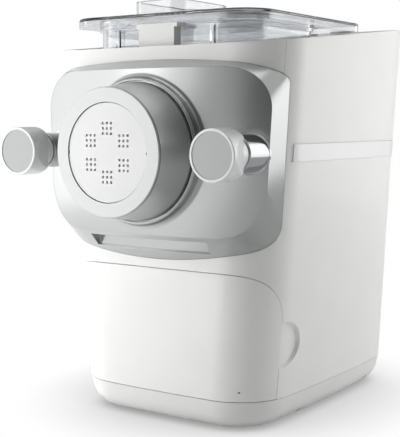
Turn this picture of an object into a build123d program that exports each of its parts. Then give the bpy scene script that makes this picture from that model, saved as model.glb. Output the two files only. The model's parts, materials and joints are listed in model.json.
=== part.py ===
"""Electric pasta maker, built as an assembly of separate pieces.

Units are millimetres. +Z is up, -Y is the front where the pasta comes out, +X is the right-hand side.
The origin is on the surface the machine stands on, below the middle of its overall box.
"""

import os
from math import acos, atan2, cos, degrees, hypot, pi, radians, sin, sqrt, tan

from build123d import *

os.makedirs("parts", exist_ok=True)

# ---------------------------------------------------------------- Driving dimensions
# Plan outline of the body, at the base seam and at the reference height near the top
SEAM_Z = 27.0                 # height of the joint between base tray and body
TOP_REF_Z = 321.0             # height at which the upper plan sizes are given
HALF_WIDTH_LOW = 101.2
HALF_WIDTH_TOP = 123.8
FRONT_Y_LOW = -101.2
FRONT_Y_TOP = -109.9
REAR_Y_LOW = 166.0
REAR_Y_TOP = 151.7
SIDE_BULGE = 5.3              # how far each side bows out between its corners
FRONT_BULGE = 4.2             # how far front and rear bow out
PLAN_CORNER_R = 47.0
WALL = 3.0                    # moulded wall of the housing
SEAM_GAP = 0.3                # open line between neighbouring covers
INNER_FIT = 0.3               # gap between the housing and what slides into it

# Sloping top edge of the body
TOP_SLOPE = 5.9               # degrees, rising towards the rear
TOP_EDGE_Y = -88.0
TOP_EDGE_Z = 318.5
SHELL_TOP_Z = TOP_EDGE_Z + 42.0   # the lofted body reaches to here before the slope cuts it
FRAME_DROP = 3.0              # top frame lies this far below the body's edge
FRAME_THICK = 3.0

# Main axis of mixing, extrusion and shaping disc
AXIS_Z = 231.0
OUTLET_FACE_Y = -166.0        # front face of the disc nut

# Base tray and feet
FOOT_HEIGHT = 1.5             # base clears the table by this much
BASE_INSET = 4.0              # base draws in this much from seam to bottom
BASE_ROUND_R = 20.0
FOOT_R = 9.0
FOOT_SEAT = 1.5
FOOT_X = 50.0
FOOT_FRONT_Y = -50.0
FOOT_REAR_Y = 118.0
FOOT_CHAMFER = 0.6
LIP_LOW_Z = 22.0              # lip of the base that locates the housing from inside
LIP_HIGH_Z = 30.5
LIP_WALL = 2.0
VENT_Y = 92.0

# Front cover, seams and drawer opening
COVER_SEAM_Y = -85.0
COVER_LOW_Z = 156.0
DOOR_SEAM_Y = -66.5
DOOR_TOP_Z = 134.0
DOOR_CORNER_R = 44.0
GRIP_Z = 71.5                 # finger recess in the housing, behind the drawer's side edge
GRIP_DEPTH = 2.8
GRIP_WALL = 2.4
GRIP_WIDE_X = 108.0           # the recess narrows from its full outline here
GRIP_WIDE = (30.5, 24.0)
GRIP_NARROW_X = 96.0          # to its small outline here
GRIP_NARROW = (23.0, 16.5)

# Side trim strips
STRIP_Z_LOW = 223.2
STRIP_Z_HIGH = 237.4
STRIP_PROUD = 0.8
STRIP_SEAT = 1.2
STRIP_FRONT_Y = -71.0
STRIP_REAR_Y = 119.0
STRIP_GAP = 0.15

# Silver front panel
FACE_Y = -123.0               # middle of the bowed face
FACE_R = 371.0                # radius of the bowed face, about a vertical line
FACE_TOP_Z = 298.3
FACE_LOW_Z = 163.0
BROW_SLOPE = 0.54             # rise of the upper flank per millimetre of depth
CHIN_SLOPE = 1.21             # fall of the lower flank per millimetre of depth
PANEL_TOP_Z = 305.3           # outer heights, where the half widths are given
PANEL_LOW_Z = 144.3
PANEL_REAR_Y = -60.0          # the flanks are drawn to here, then trimmed to the body
PANEL_TOP_INSET = (13.2, 7.6)     # half widths inside the body's top half width: at the face, at the rear
PANEL_LOW_INSET = (9.0, 19.5)
BROW_CORNER_R = (45.7, 24.3)  # corner radii, at the face and at the rear
CHIN_CORNER_R = (52.6, 78.1)
PANEL_WALL = 2.6
PANEL_GAP = 0.4               # gap between the panel's rear rim and the body
SLOT_HALF = 61.0              # finger slot in the panel's chin
SLOT_LOW_Z = 149.5
SLOT_HIGH_Z = 159.5
SLOT_DEPTH = 6.0
SLOT_WALL = 1.8
RIM_R = 59.5                  # raised round rim of the panel about the outlet
RIM_FRONT_Y = -129.6
RIM_ROUND = 1.8
RIM_BLEND = 4.5               # hollow rounding between the rim and the bowed face
RIM_RECESS_R = 57.4           # the nut's rear edge turns inside the rim
RIM_FLOOR_Y = -126.2

# Extrusion outlet, shaping disc and its nut
TUBE_BORE_R = 27.0
TUBE_R = 31.0
TUBE_REAR_Y = -84.0
TUBE_HOLE_R = 36.0            # hole for the tube in the front cover
HEAD_R = 44.0
HEAD_FRONT_Y = -158.0
HEAD_MOUTH_R = 38.0
MOUTH_STEP = 7.5              # depth of the wide mouth behind the shaping disc
FLANGE_R = 52.0
FLANGE_THICK = 4.0
NUT_FRONT_R = 51.25
NUT_REAR_R = 56.3
NUT_REAR_Y = -127.0
NUT_OPENING_R = 39.65
NUT_LIP = 4.6
NUT_CLEAR = 0.5               # radial gap between the nut and the head's thread
NUT_BORE_R = 47.0
NUT_CORE_REAR_Y = -138.0
NUT_SKIN = 3.0
NUT_EDGE_R = 0.8
NUT_PLATE = 1.5               # front ring of the nut, set off by a fine groove
NUT_GROOVE_DEPTH = 0.8
NUT_GROOVE_WIDTH = 0.8
DISC_FACE_R = 39.06
DISC_RECESS = 0.8
DISC_FLANGE_R = 43.4
DISC_FLANGE_THICK = 3.0
DIE_RING_R = 19.0             # circle on which the groups of die holes lie
DIE_GROUPS = 6
DIE_ROWS = 3
DIE_PITCH = 4.1
DIE_HOLE = 2.0
DIE_LAND = 3.2                # length of each square hole
DIE_POCKET = 13.4
NOTCH_R = 1.0
LUG_R = 46.6                  # bayonet lugs on the head
LUG_SPAN = 30.0
LUG_THICK = 3.6
LUG_FRONT_Y = -145.6
LUG_PLAY = 0.35
PLATE_HALF_X = 62.0
PLATE_HALF_Z = 54.0
PLATE_THICK = 3.0
PLATE_FRONT_Y = -114.0
PLATE_CORNER_R = 22.0
POST_X = 54.0
POST_Z = 46.0
POST_R = 4.0
POST_LENGTH = 3.5
SEAL_LENGTH = 5.0

# Locking knobs, one on each side
KNOB_X = HALF_WIDTH_TOP - 26.4
KNOB_Z = 230.7
KNOB_FACE_Y = -164.25
KNOB_R = 20.0
KNOB_BARREL = 23.2
KNOB_RIM = 2.1
KNOB_RECESS = 0.5
KNOB_CAP_THICK = 1.6
KNOB_NECK_R = 13.6
KNOB_NECK = 6.4
KNOB_REAR_FILLET = 3.0
GRIP_FLAT_REAR = 13.0         # the flats' distance from the knob axis, at the rear edge
GRIP_FLAT_FRONT = 19.6
GRIP_FLAT_START = 4.2         # plain round length behind the knob's face
COLLAR_R = 14.85
COLLAR_BASE_R = 16.7
COLLAR_BASE_PROUD = 0.9
COLLAR_GAP = 0.6
COLLAR_REAR_Y = -103.6
COLLAR_SPIGOT_R = 12.0
SLEEVE_R = 9.0
SLEEVE_FIT = 0.06
SLEEVE_REAR_Y = -100.9
CLIP_GROOVE_R = 7.6
CLIP_R = 11.0
CLIP_THICK = 1.2
CLIP_REAR_Y = -101.7
CLIP_CLEAR = 0.3              # room round the clip in front of the cover
STUD_R = 4.0
STUD_CLEAR = 0.35
STUD_FRONT_Y = -152.0
STUD_ROOT_Y = -86.0
STUD_SEAT_Y = -97.0
STUD_SEAT_R = 9.0
STUD_FLANGE_R = 8.5
STUD_FLANGE = 3.0
BOSS_R = 11.0
COLLAR_BASE_REAR_Y = -106.5

# Mixing chamber
CHAMBER_HALF = 83.0
CHAMBER_FRONT_Y = -88.0
BULKHEAD_Y = 25.0             # front face of the wall between chamber and gearbox
CHAMBER_REAR_Y = BULKHEAD_Y - 2.5
CHAMBER_WALL = 2.5
CHAMBER_FRONT_ROUND = 30.0
CHAMBER_REAR_ROUND = 14.0
CHAMBER_TOP_Z = 335.8
FRAME_CLEAR = 1.0             # gap between the chamber and the opening of the top frame
CHAMBER_RIM = 2.4
CHAMBER_RIM_HEIGHT = 3.0
OUTLET_HOLE_R = 33.0
RIB_X = 48.6
RIB_WIDTH = 3.6
RIB_DEPTH = 2.4

# Lid
LID_HALF = CHAMBER_HALF + 14.0
LID_FRONT_Y = CHAMBER_FRONT_Y - 14.0
LID_REAR_Y = 84.0
LID_LOW_Z = CHAMBER_TOP_Z + 0.2
LID_TOP_Z = LID_LOW_Z + 8.0
LID_PLATE = 2.6
LID_WALL = 2.6
LID_FRONT_R = 28.0
LID_REAR_R = 10.0
LID_EDGE_R = 2.0
LID_RIB_DROP = 6.0            # how far the locating rib reaches into the chamber
LID_RIB_GAP = 0.8
LID_RIB_WALL = 2.0
INLET_HALF = 25.0
INLET_FRONT_Y = LID_FRONT_Y + 0.5
INLET_REAR_Y = -16.0
INLET_TOP_Z = LID_TOP_Z + 10.6
INLET_WALL = 2.4
INLET_FRONT_R = 11.0
INLET_REAR_R = 24.0
SLIT_COUNT = 7
SLIT_PITCH = 5.6
SLIT_WIDTH = 2.8
SLIT_LENGTH = 34.0
SLIT_Y = -52.0

# Interlock block below the lid's front edge
LOCK_BAR_HALF = 21.0
LOCK_BAR_THICK = 3.4
LOCK_BOX_HALF = 18.0
LOCK_FRONT_Y = LID_FRONT_Y + 1.5
LOCK_REAR_Y = LOCK_FRONT_Y + 9.5
LOCK_GAP = 0.3
LOCK_WALL = 1.8
SWITCH_HALF = 8.0
SWITCH_DEPTH = 4.8
SWITCH_HEIGHT = 10.0
SWITCH_LOW_Z = 318.0

# Drawer
DRAWER_SEAM = 0.5
TRAY_HALF = 80.0
TRAY_FRONT_Y = -94.0
TRAY_REAR_Y = 10.0
TRAY_LOW_Z = 35.0
TRAY_TOP_Z = 112.0
TRAY_WALL = 2.0
TRAY_CORNER_R = 6.0
TRAY_SEAT_GAP = 0.1           # play of the tray's corners in the drawer's front
DOOR_PAD_HALF = 58.0
DOOR_PAD_LOW = 46.0
DOOR_PAD_HIGH = 108.0
RAIL_X = 60.0
RAIL_WIDTH = 6.0
RAIL_GAP = 0.2

# Inner chassis
CEILING_Z = 137.0             # underside of the floor between drawer bay and chamber
CHASSIS_WALL = 3.0
CRADLE_Y = (-62.0, -6.0)
CRADLE_WIDTH = 6.0
CRADLE_HALF = 52.0
CRADLE_GAP = 0.2
STRUT_HALF = 30.0
CRADLE_TOP_Z = 165.0
BULKHEAD_TOP_Z = 318.0

# Gear train: module, teeth and places
FINE_MODULE = 2.0
COARSE_MODULE = 2.5
MOTOR_TEETH = 16
WHEEL_TEETH = 56
PINION_TEETH = 16
OUTPUT_TEETH = 48
MOTOR_DROP = 140.0            # motor axis below the output axis
ADDENDUM = 0.9
DEDENDUM = 1.25
TOOTH_THIN = 0.86             # tooth thickness over half the pitch, for backlash
PRESSURE_ANGLE = 20.0
GEAR_FRONT_Y = 38.0
COARSE_FACE = 10.0
GEAR_STEP = 2.0
FINE_FACE = 8.0
CASE_FRONT_Y = BULKHEAD_Y + CHASSIS_WALL
CASE_WALL = 3.0
CASE_DEPTH = 36.0
CASE_MARGIN = 6.0
EAR_R = 6.5
EAR_THICK = 4.0
WEB_OUTER_R = 50.0            # lightening recess in the gears
WEB_INNER_R = 18.0
WHEEL_WEB_OUTER_R = 47.0
WEB_DEPTH = 3.0
GEAR_HUB_R = 13.0
GEAR_HOLE_R = 9.0
SHAFT_R = 8.0
SHAFT_FRONT_Y = -140.0
SHAFT_REAR_Y = 62.0
HEX_REAR_Y = 14.0             # in front of this the shaft is six-sided
HEX_FIT = 0.06
SHAFT_FIT = 0.05
BEARING_R = 14.0
BEARING_LENGTH = 7.0
IDLER_R = 5.0
MOTOR_SHAFT_R = 4.0
MOTOR_R = 43.0
MOTOR_LENGTH = 72.0
MOTOR_COLLAR_R = 14.0
MOTOR_BORE_DEPTH = 12.0
MOTOR_FLANGE_HALF = 40.0
MOTOR_FLANGE = 3.0
MOTOR_VENTS = 8
SHAFT_SEAL_R = 13.0
SHAFT_SEAL_FLANGE_R = 16.0
SHAFT_SEAL_FLANGE = 1.6

# Auger and stirring paddle
AUGER_R = 26.0
AUGER_CORE_R = 11.5
AUGER_FRONT_Y = -147.0
AUGER_REAR_Y = -66.0
AUGER_PITCH = 30.0
FLIGHT_ROOT = 6.0
FLIGHT_TIP = 3.0
PADDLE_REACH = CHAMBER_HALF - 7.0
PADDLE_HUB_R = 15.0
PADDLE_REAR_Y = 12.0
PADDLE_ARM = 11.0
PADDLE_THICK = 6.0
PADDLE_ARMS = 4
PADDLE_BLADE = 30.0
PADDLE_BLADE_DEPTH = 10.0
PADDLE_FIRST_Y = -40.0
PADDLE_STEP = 11.0
PADDLE_START = 25.0           # degrees of the first arm

# Control deck behind the lid
DECK_FRONT_Y = 86.0
DECK_THICK = 3.0
DECK_DROP = 1.2
WINDOW_X = -38.0
WINDOW_HALF_X = 24.0
WINDOW_HALF_Y = 13.0
WINDOW_THICK = 2.0
DECK_MID = 26.0               # from the deck's front edge to the row of controls, along the slope
DIAL_X = 64.0
DIAL_R = 12.0
DIAL_HEIGHT = 2.6
DIAL_GAP = 0.3
DIAL_SHAFT_R = 3.0
DIAL_FIT = 0.06
BUTTON_X = (8.0, 30.0)
BUTTON_R = 6.5
BUTTON_HEIGHT = 1.6
BUTTON_STEM_R = 3.0
BUTTON_STEM = 4.5
BUTTON_FLANGE_R = 7.9
FLANGE_CLEAR = 0.3
BUTTON_CLEAR = 0.35
BUTTON_TRAVEL = 1.2
BOARD_THICK = 1.6
BOARD_HALF_X = 72.0
BOARD_HALF_Y = 19.0
BOARD_X = 8.0

# Electrics and fasteners
INLET_X = 55.0
INLET_Z = 52.0
GROMMET_R = 8.0
GROMMET_FIT = 0.1
GROMMET_BORE_R = 3.6
GROMMET_FLANGE_R = 10.5
GROMMET_LENGTH = 7.5
INLET_FRONT_SIDE_Y = 157.8    # inner end of the grommet
SCREW_HEAD_R = 3.6
SCREW_R = 1.9
SCREW_HEAD = 2.4
BASE_SCREW_X = 90.0
BASE_SCREW_Y = (-20.0, 110.0)
BASE_SCREW_SEAT_Z = 22.0
BASE_SCREW_LENGTH = 15.0
POST_WALL_R = 5.5
POST_TOP_Z = 57.0
VENT_COUNT = 9
VENT_PITCH = 9.0
VENT_WIDTH = 3.0
VENT_LENGTH = 44.0

BIG = 400.0                   # longer than the machine, for cuts that run right through


# ---------------------------------------------------------------- Shared geometry
def between(height, low, high):
    """A plan size at a height, on the straight line between the seam and the reference height."""
    return low + (high - low) * (height - SEAM_Z) / (TOP_REF_Z - SEAM_Z)


def body_outline(height, inset=0.0):
    """Plan outline of the body at a height, drawn inset millimetres inside the outer skin."""
    half = between(height, HALF_WIDTH_LOW, HALF_WIDTH_TOP) - inset
    front = between(height, FRONT_Y_LOW, FRONT_Y_TOP) + inset
    rear = between(height, REAR_Y_LOW, REAR_Y_TOP) - inset
    middle = (front + rear) / 2
    corner_x = half - SIDE_BULGE
    front_y = front + FRONT_BULGE
    rear_y = rear - FRONT_BULGE
    with BuildSketch(Plane.XY.offset(height)) as outline:
        with BuildLine():
            ThreePointArc((-corner_x, front_y), (0, front), (corner_x, front_y))
            ThreePointArc((corner_x, front_y), (half, middle), (corner_x, rear_y))
            ThreePointArc((corner_x, rear_y), (0, rear), (-corner_x, rear_y))
            ThreePointArc((-corner_x, rear_y), (-half, middle), (-corner_x, front_y))
        make_face()
        fillet(outline.vertices(), PLAN_CORNER_R - inset)
    return outline.sketch


def body_block(low, high, inset=0.0):
    """Solid block of the tapering body between two heights."""
    with BuildPart() as block:
        loft(sections=[body_outline(low, inset).face(), body_outline(high, inset).face()])
    return block.part


def slope_plane(drop=0.0):
    """Plane of the sloping top, lowered by drop."""
    tilt = radians(TOP_SLOPE)
    normal = (0, -sin(tilt), cos(tilt))
    return Plane(origin=(0, TOP_EDGE_Y, TOP_EDGE_Z), x_dir=(1, 0, 0), z_dir=normal).offset(-drop)


def slope_z(y):
    """Height of the body's sloping top edge at a depth."""
    return TOP_EDGE_Z + (y - TOP_EDGE_Y) * tan(radians(TOP_SLOPE))


def front_plane(y):
    """Upright plane at a depth, facing the front: local x is X, local y is Z, extrusion runs forwards."""
    return Plane.XZ.offset(-y)


def ring(outer_r, inner_r, rear_y, length, x=0.0, z=AXIS_Z):
    """Ring or, with inner_r 0, a plain disc about a line along Y, running forwards from rear_y."""
    with BuildPart() as made:
        with BuildSketch(front_plane(rear_y)):
            with Locations((x, z)):
                Circle(outer_r)
                if inner_r > 0:
                    Circle(inner_r, mode=Mode.SUBTRACT)
        extrude(amount=length)
    return made.part


def box_between(x_span, y_span, z_span):
    """Plain block given by its three spans."""
    centre = [(span[0] + span[1]) / 2 for span in (x_span, y_span, z_span)]
    sizes = [span[1] - span[0] for span in (x_span, y_span, z_span)]
    with BuildPart() as block:
        with Locations(tuple(centre)):
            Box(*sizes)
    return block.part


def door_prism(gap=0.0):
    """Sideways prism that bounds the drawer opening, rounded at its upper rear corner."""
    with BuildPart() as prism:
        with BuildSketch(Plane.YZ) as profile:
            with Locations((DOOR_SEAM_Y - gap, DOOR_TOP_Z - gap)):
                Rectangle(100, DOOR_TOP_Z - SEAM_Z + 20, align=(Align.MAX, Align.MAX))
            corner = profile.vertices().group_by(Axis.Y)[-1].sort_by(Axis.X)[-1]
            fillet(corner, DOOR_CORNER_R - gap)
        extrude(amount=BIG / 2, both=True)
    return prism.part


def strip_box(side, grow):
    """Block that bounds a side strip; grow widens it for the seat in the housing."""
    x_span = (60.0, 140.0) if side > 0 else (-140.0, -60.0)
    return box_between(
        x_span,
        (STRIP_FRONT_Y - grow, STRIP_REAR_Y + grow),
        (STRIP_Z_LOW - grow, STRIP_Z_HIGH + grow),
    )


outer_block = body_block(SEAM_Z, SHELL_TOP_Z)
inner_block = body_block(SEAM_Z - 1, SHELL_TOP_Z + 1, WALL)
fitted_block = body_block(SEAM_Z - 1, SHELL_TOP_Z + 1, WALL + INNER_FIT)


# ---------------------------------------------------------------- Housing
with BuildPart() as skin:
    add(outer_block)
    split(bisect_by=slope_plane(), keep=Keep.BOTTOM)
    add(inner_block, mode=Mode.SUBTRACT)

cover_region = box_between((-BIG / 2, BIG / 2), (-BIG / 2, COVER_SEAM_Y), (COVER_LOW_Z, BIG))
cover_piece_region = box_between(
    (-BIG / 2, BIG / 2), (-BIG / 2, COVER_SEAM_Y - SEAM_GAP), (COVER_LOW_Z + SEAM_GAP, BIG)
)

with BuildPart() as grip_pads:
    for side in (-1, 1):
        with BuildSketch(Plane.YZ):
            with Locations((DOOR_SEAM_Y, GRIP_Z)):
                Ellipse(GRIP_WIDE[0] + GRIP_WALL, GRIP_WIDE[1] + GRIP_WALL)
        extrude(amount=side * BIG / 2)
    add(body_block(SEAM_Z, DOOR_TOP_Z, WALL - 0.2), mode=Mode.INTERSECT)
    add(body_block(SEAM_Z - 1, DOOR_TOP_Z + 1, GRIP_DEPTH + GRIP_WALL), mode=Mode.SUBTRACT)

with BuildPart() as grip_cut:
    for side in (-1, 1):
        with BuildSketch(Plane.YZ.offset(side * GRIP_WIDE_X)):
            with Locations((DOOR_SEAM_Y, GRIP_Z)):
                Ellipse(*GRIP_WIDE)
        with BuildSketch(Plane.YZ.offset(side * GRIP_NARROW_X)):
            with Locations((DOOR_SEAM_Y, GRIP_Z)):
                Ellipse(*GRIP_NARROW)
        loft(ruled=True)
    add(body_block(SEAM_Z - 1, DOOR_TOP_Z + 1, GRIP_DEPTH), mode=Mode.SUBTRACT)

strip_seat = body_block(STRIP_Z_LOW - 5, STRIP_Z_HIGH + 5, STRIP_SEAT)

with BuildPart() as shell_posts:
    with BuildSketch(Plane.XY.offset(SEAM_Z)):
        for side in (-1, 1):
            for y in BASE_SCREW_Y:
                with Locations((side * BASE_SCREW_X, y)):
                    Circle(POST_WALL_R)
                with Locations((side * (BASE_SCREW_X + POST_WALL_R), y)):
                    Rectangle(2 * POST_WALL_R, 4)
    extrude(amount=POST_TOP_Z - SEAM_Z)
    add(body_block(SEAM_Z, POST_TOP_Z, WALL / 2), mode=Mode.INTERSECT)

with BuildPart() as body_shell:
    add(skin.part)
    add(grip_pads.part)
    add(shell_posts.part)
    add(grip_cut.part, mode=Mode.SUBTRACT)
    add(cover_region, mode=Mode.SUBTRACT)
    add(door_prism(), mode=Mode.SUBTRACT)
    for side in (-1, 1):
        add(strip_box(side, STRIP_GAP).cut(strip_seat), mode=Mode.SUBTRACT)
    add(ring(GROMMET_R + GROMMET_FIT, 0, BIG / 2, BIG / 4, INLET_X, INLET_Z), mode=Mode.SUBTRACT)
    with BuildSketch(Plane.XY.offset(SEAM_Z)):
        for side in (-1, 1):
            for y in BASE_SCREW_Y:
                with Locations((side * BASE_SCREW_X, y)):
                    Circle(SCREW_R)
    extrude(amount=BASE_SCREW_LENGTH, mode=Mode.SUBTRACT)
body_shell.part.label = "body_shell"
export_step(body_shell.part, "parts/body_shell.step")

with BuildPart() as front_cover:
    add(skin.part)
    for side in (-1, 1):
        add(ring(BOSS_R, 0, COVER_SEAM_Y, BIG / 8, side * KNOB_X, KNOB_Z).intersect(outer_block))
    add(cover_piece_region, mode=Mode.INTERSECT)
    add(ring(TUBE_HOLE_R, 0, COVER_SEAM_Y + 5, BIG / 8), mode=Mode.SUBTRACT)
    for side in (-1, 1):
        add(ring(STUD_SEAT_R, 0, STUD_SEAT_Y, BIG / 8, side * KNOB_X, KNOB_Z), mode=Mode.SUBTRACT)
        clip_seat_y = CLIP_REAR_Y + CLIP_CLEAR
        add(ring(CLIP_R + CLIP_CLEAR, 0, clip_seat_y, BIG / 8, side * KNOB_X, KNOB_Z), mode=Mode.SUBTRACT)
        add(ring(STUD_R, 0, STUD_ROOT_Y, BIG / 8, side * KNOB_X, KNOB_Z), mode=Mode.SUBTRACT)
front_cover.part.label = "front_cover"
export_step(front_cover.part, "parts/front_cover.step")


# ---------------------------------------------------------------- Base tray and feet
def base_block(inset, floor_z, top_z, bottom_round):
    """The base's block: from its flat bottom, through the rounding, up to top_z."""
    with BuildPart() as block:
        sections = [
            body_outline(floor_z, BASE_INSET + inset).face(),
            body_outline(top_z, inset).face(),
        ]
        loft(sections=sections)
        fillet(block.edges().group_by(Axis.Z)[0], bottom_round)
    return block.part


def feet_places():
    """Plan places of the four feet."""
    return [(side * FOOT_X, y) for side in (-1, 1) for y in (FOOT_FRONT_Y, FOOT_REAR_Y)]


def base_screw_places():
    """Plan places of the four screws that hold the base tray to the housing."""
    return [(side * BASE_SCREW_X, y) for side in (-1, 1) for y in BASE_SCREW_Y]


BASE_TOP_Z = SEAM_Z - SEAM_GAP
BASE_FLOOR_Z = FOOT_HEIGHT + WALL

with BuildPart() as lip_ring:
    add(body_outline(BASE_TOP_Z, WALL + INNER_FIT))
    extrude(amount=LIP_HIGH_Z - BASE_TOP_Z)
    add(body_outline(BASE_TOP_Z, WALL / 2))
    extrude(amount=LIP_LOW_Z - BASE_TOP_Z)
    add(body_outline(LIP_HIGH_Z, WALL + INNER_FIT + LIP_WALL))
    extrude(amount=LIP_LOW_Z - LIP_HIGH_Z, mode=Mode.SUBTRACT)
    with BuildSketch(Plane.XY.offset(BASE_TOP_Z)):
        with Locations(*base_screw_places()):
            Rectangle(4 * POST_WALL_R, 2 * (POST_WALL_R + INNER_FIT))
    extrude(amount=LIP_HIGH_Z - BASE_TOP_Z, mode=Mode.SUBTRACT)

with BuildPart() as base_posts:
    with BuildSketch(Plane.XY.offset(BASE_FLOOR_Z - 1)):
        with Locations(*base_screw_places()):
            Circle(POST_WALL_R)
    extrude(amount=BASE_TOP_Z - BASE_FLOOR_Z + 1)
    add(base_block(0.0, FOOT_HEIGHT, BASE_TOP_Z, BASE_ROUND_R), mode=Mode.INTERSECT)

with BuildPart() as base_tray:
    add(base_block(0.0, FOOT_HEIGHT, BASE_TOP_Z, BASE_ROUND_R))
    add(base_block(WALL, BASE_FLOOR_Z, BASE_TOP_Z + 1, BASE_ROUND_R - WALL), mode=Mode.SUBTRACT)
    add(lip_ring.part)
    add(base_posts.part)
    for side in (-1, 1):
        add(
            box_between(
                (side * RAIL_X - RAIL_WIDTH / 2, side * RAIL_X + RAIL_WIDTH / 2),
                (TRAY_FRONT_Y + 16, TRAY_REAR_Y - 4),
                (BASE_FLOOR_Z - 1, TRAY_LOW_Z - RAIL_GAP),
            )
        )
    with BuildSketch(Plane.XY):
        with Locations(*base_screw_places()):
            Circle(SCREW_HEAD_R + 0.3)
    extrude(amount=BASE_SCREW_SEAT_Z, mode=Mode.SUBTRACT)
    with BuildSketch(Plane.XY):
        with Locations(*base_screw_places()):
            Circle(SCREW_R)
    extrude(amount=LIP_HIGH_Z + 1, mode=Mode.SUBTRACT)
    with BuildSketch(Plane.XY):
        with Locations(*feet_places()):
            Circle(FOOT_R)
    extrude(amount=FOOT_HEIGHT + FOOT_SEAT, mode=Mode.SUBTRACT)
    with BuildSketch(Plane.XY):
        with Locations((0, VENT_Y)):
            with GridLocations(VENT_PITCH, 1, VENT_COUNT, 1):
                SlotOverall(VENT_LENGTH, VENT_WIDTH, rotation=90)
    extrude(amount=BASE_FLOOR_Z + 1, mode=Mode.SUBTRACT)
base_tray.part.label = "base_tray"
export_step(base_tray.part, "parts/base_tray.step")

with BuildPart() as rubber_feet:
    with BuildSketch(Plane.XY):
        with Locations(*feet_places()):
            Circle(FOOT_R)
    extrude(amount=FOOT_HEIGHT + FOOT_SEAT)
    chamfer(rubber_feet.edges().group_by(Axis.Z)[0], FOOT_CHAMFER)
rubber_feet.part.label = "rubber_feet"
export_step(rubber_feet.part, "parts/rubber_feet.step")

with BuildPart() as base_screws:
    with BuildSketch(Plane.XY.offset(BASE_SCREW_SEAT_Z - SCREW_HEAD)):
        with Locations(*base_screw_places()):
            Circle(SCREW_HEAD_R)
    extrude(amount=SCREW_HEAD)
    with BuildSketch(Plane.XY.offset(BASE_SCREW_SEAT_Z)):
        with Locations(*base_screw_places()):
            Circle(SCREW_R)
    extrude(amount=BASE_SCREW_LENGTH)
base_screws.part.label = "base_screws"
export_step(base_screws.part, "parts/base_screws.step")

# ---------------------------------------------------------------- Side strips
strip_block = body_block(STRIP_Z_LOW - 5, STRIP_Z_HIGH + 5, -STRIP_PROUD)
for side, side_name in ((-1, "left"), (1, "right")):
    with BuildPart() as side_strip:
        add(strip_block)
        add(strip_box(side, 0), mode=Mode.INTERSECT)
        add(strip_seat, mode=Mode.SUBTRACT)
    side_strip.part.label = "side_strip_" + side_name
    export_step(side_strip.part, "parts/side_strip_" + side_name + ".step")


# ---------------------------------------------------------------- Top frame and control deck
def plan_prism(half, y_span, front_r, rear_r, z_span):
    """Upright prism on a rounded plan rectangle, mirrored about the middle plane."""
    with BuildPart() as made:
        with BuildSketch(Plane.XY.offset(z_span[0])) as plan:
            with Locations((0, (y_span[0] + y_span[1]) / 2)):
                Rectangle(2 * half, y_span[1] - y_span[0])
            fillet(plan.vertices().group_by(Axis.Y)[0], front_r)
            fillet(plan.vertices().group_by(Axis.Y)[-1], rear_r)
        extrude(amount=z_span[1] - z_span[0])
    return made.part


def chamber_prism(outset, z_span):
    """Prism on the mixing chamber's plan outline, drawn outset millimetres outside its outer face."""
    return plan_prism(
        CHAMBER_HALF + outset,
        (CHAMBER_FRONT_Y - outset, CHAMBER_REAR_Y + outset),
        CHAMBER_FRONT_ROUND + outset,
        CHAMBER_REAR_ROUND + outset,
        z_span,
    )


with BuildPart() as top_frame:
    add(fitted_block)
    split(bisect_by=slope_plane(FRAME_DROP), keep=Keep.BOTTOM)
    split(bisect_by=slope_plane(FRAME_DROP + FRAME_THICK), keep=Keep.TOP)
    add(box_between((-BIG, BIG), (-BIG, DECK_FRONT_Y - SEAM_GAP), (0, BIG)), mode=Mode.INTERSECT)
    add(chamber_prism(FRAME_CLEAR, (CEILING_Z, BIG)), mode=Mode.SUBTRACT)
top_frame.part.label = "top_frame"
export_step(top_frame.part, "parts/top_frame.step")

DECK_ROW = (DECK_FRONT_Y - TOP_EDGE_Y) / cos(radians(TOP_SLOPE)) + DECK_MID
FLANGE_DROP = DECK_DROP + DECK_THICK + FLANGE_CLEAR
STEM_END_DROP = FLANGE_DROP + BUTTON_STEM
BOARD_DROP = STEM_END_DROP + BUTTON_TRAVEL + 0.3


def deck_disc(radius, top_drop, thickness, x):
    """Disc lying parallel to the control deck, its top face top_drop below the slope of the body's edge."""
    with BuildPart() as made:
        with BuildSketch(slope_plane(top_drop)):
            with Locations((x, DECK_ROW)):
                Circle(radius)
        extrude(amount=-thickness)
    return made.part


def deck_plate(size_x, size_y, top_drop, thickness, x):
    """Rectangular plate lying parallel to the control deck."""
    with BuildPart() as made:
        with BuildSketch(slope_plane(top_drop)):
            with Locations((x, DECK_ROW)):
                Rectangle(size_x, size_y)
        extrude(amount=-thickness)
    return made.part


with BuildPart() as control_deck:
    add(fitted_block)
    split(bisect_by=slope_plane(DECK_DROP), keep=Keep.BOTTOM)
    split(bisect_by=slope_plane(DECK_DROP + DECK_THICK), keep=Keep.TOP)
    add(box_between((-BIG, BIG), (DECK_FRONT_Y, BIG), (0, BIG)), mode=Mode.INTERSECT)
    add(
        deck_plate(2 * WINDOW_HALF_X, 2 * WINDOW_HALF_Y, DECK_DROP, WINDOW_THICK, WINDOW_X),
        mode=Mode.SUBTRACT,
    )
    add(
        deck_plate(2 * WINDOW_HALF_X - 4, 2 * WINDOW_HALF_Y - 4, DECK_DROP, DECK_THICK + 1, WINDOW_X),
        mode=Mode.SUBTRACT,
    )
    for x in BUTTON_X:
        add(deck_disc(BUTTON_R + BUTTON_CLEAR, 0, DECK_DROP + DECK_THICK + 1, x), mode=Mode.SUBTRACT)
    add(deck_disc(DIAL_SHAFT_R + DIAL_FIT, 0, DECK_DROP + DECK_THICK + 1, DIAL_X), mode=Mode.SUBTRACT)
control_deck.part.label = "control_deck"
export_step(control_deck.part, "parts/control_deck.step")

with BuildPart() as display_window:
    add(deck_plate(2 * WINDOW_HALF_X, 2 * WINDOW_HALF_Y, DECK_DROP, WINDOW_THICK, WINDOW_X))
display_window.part.label = "display_window"
export_step(display_window.part, "parts/display_window.step")

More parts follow.
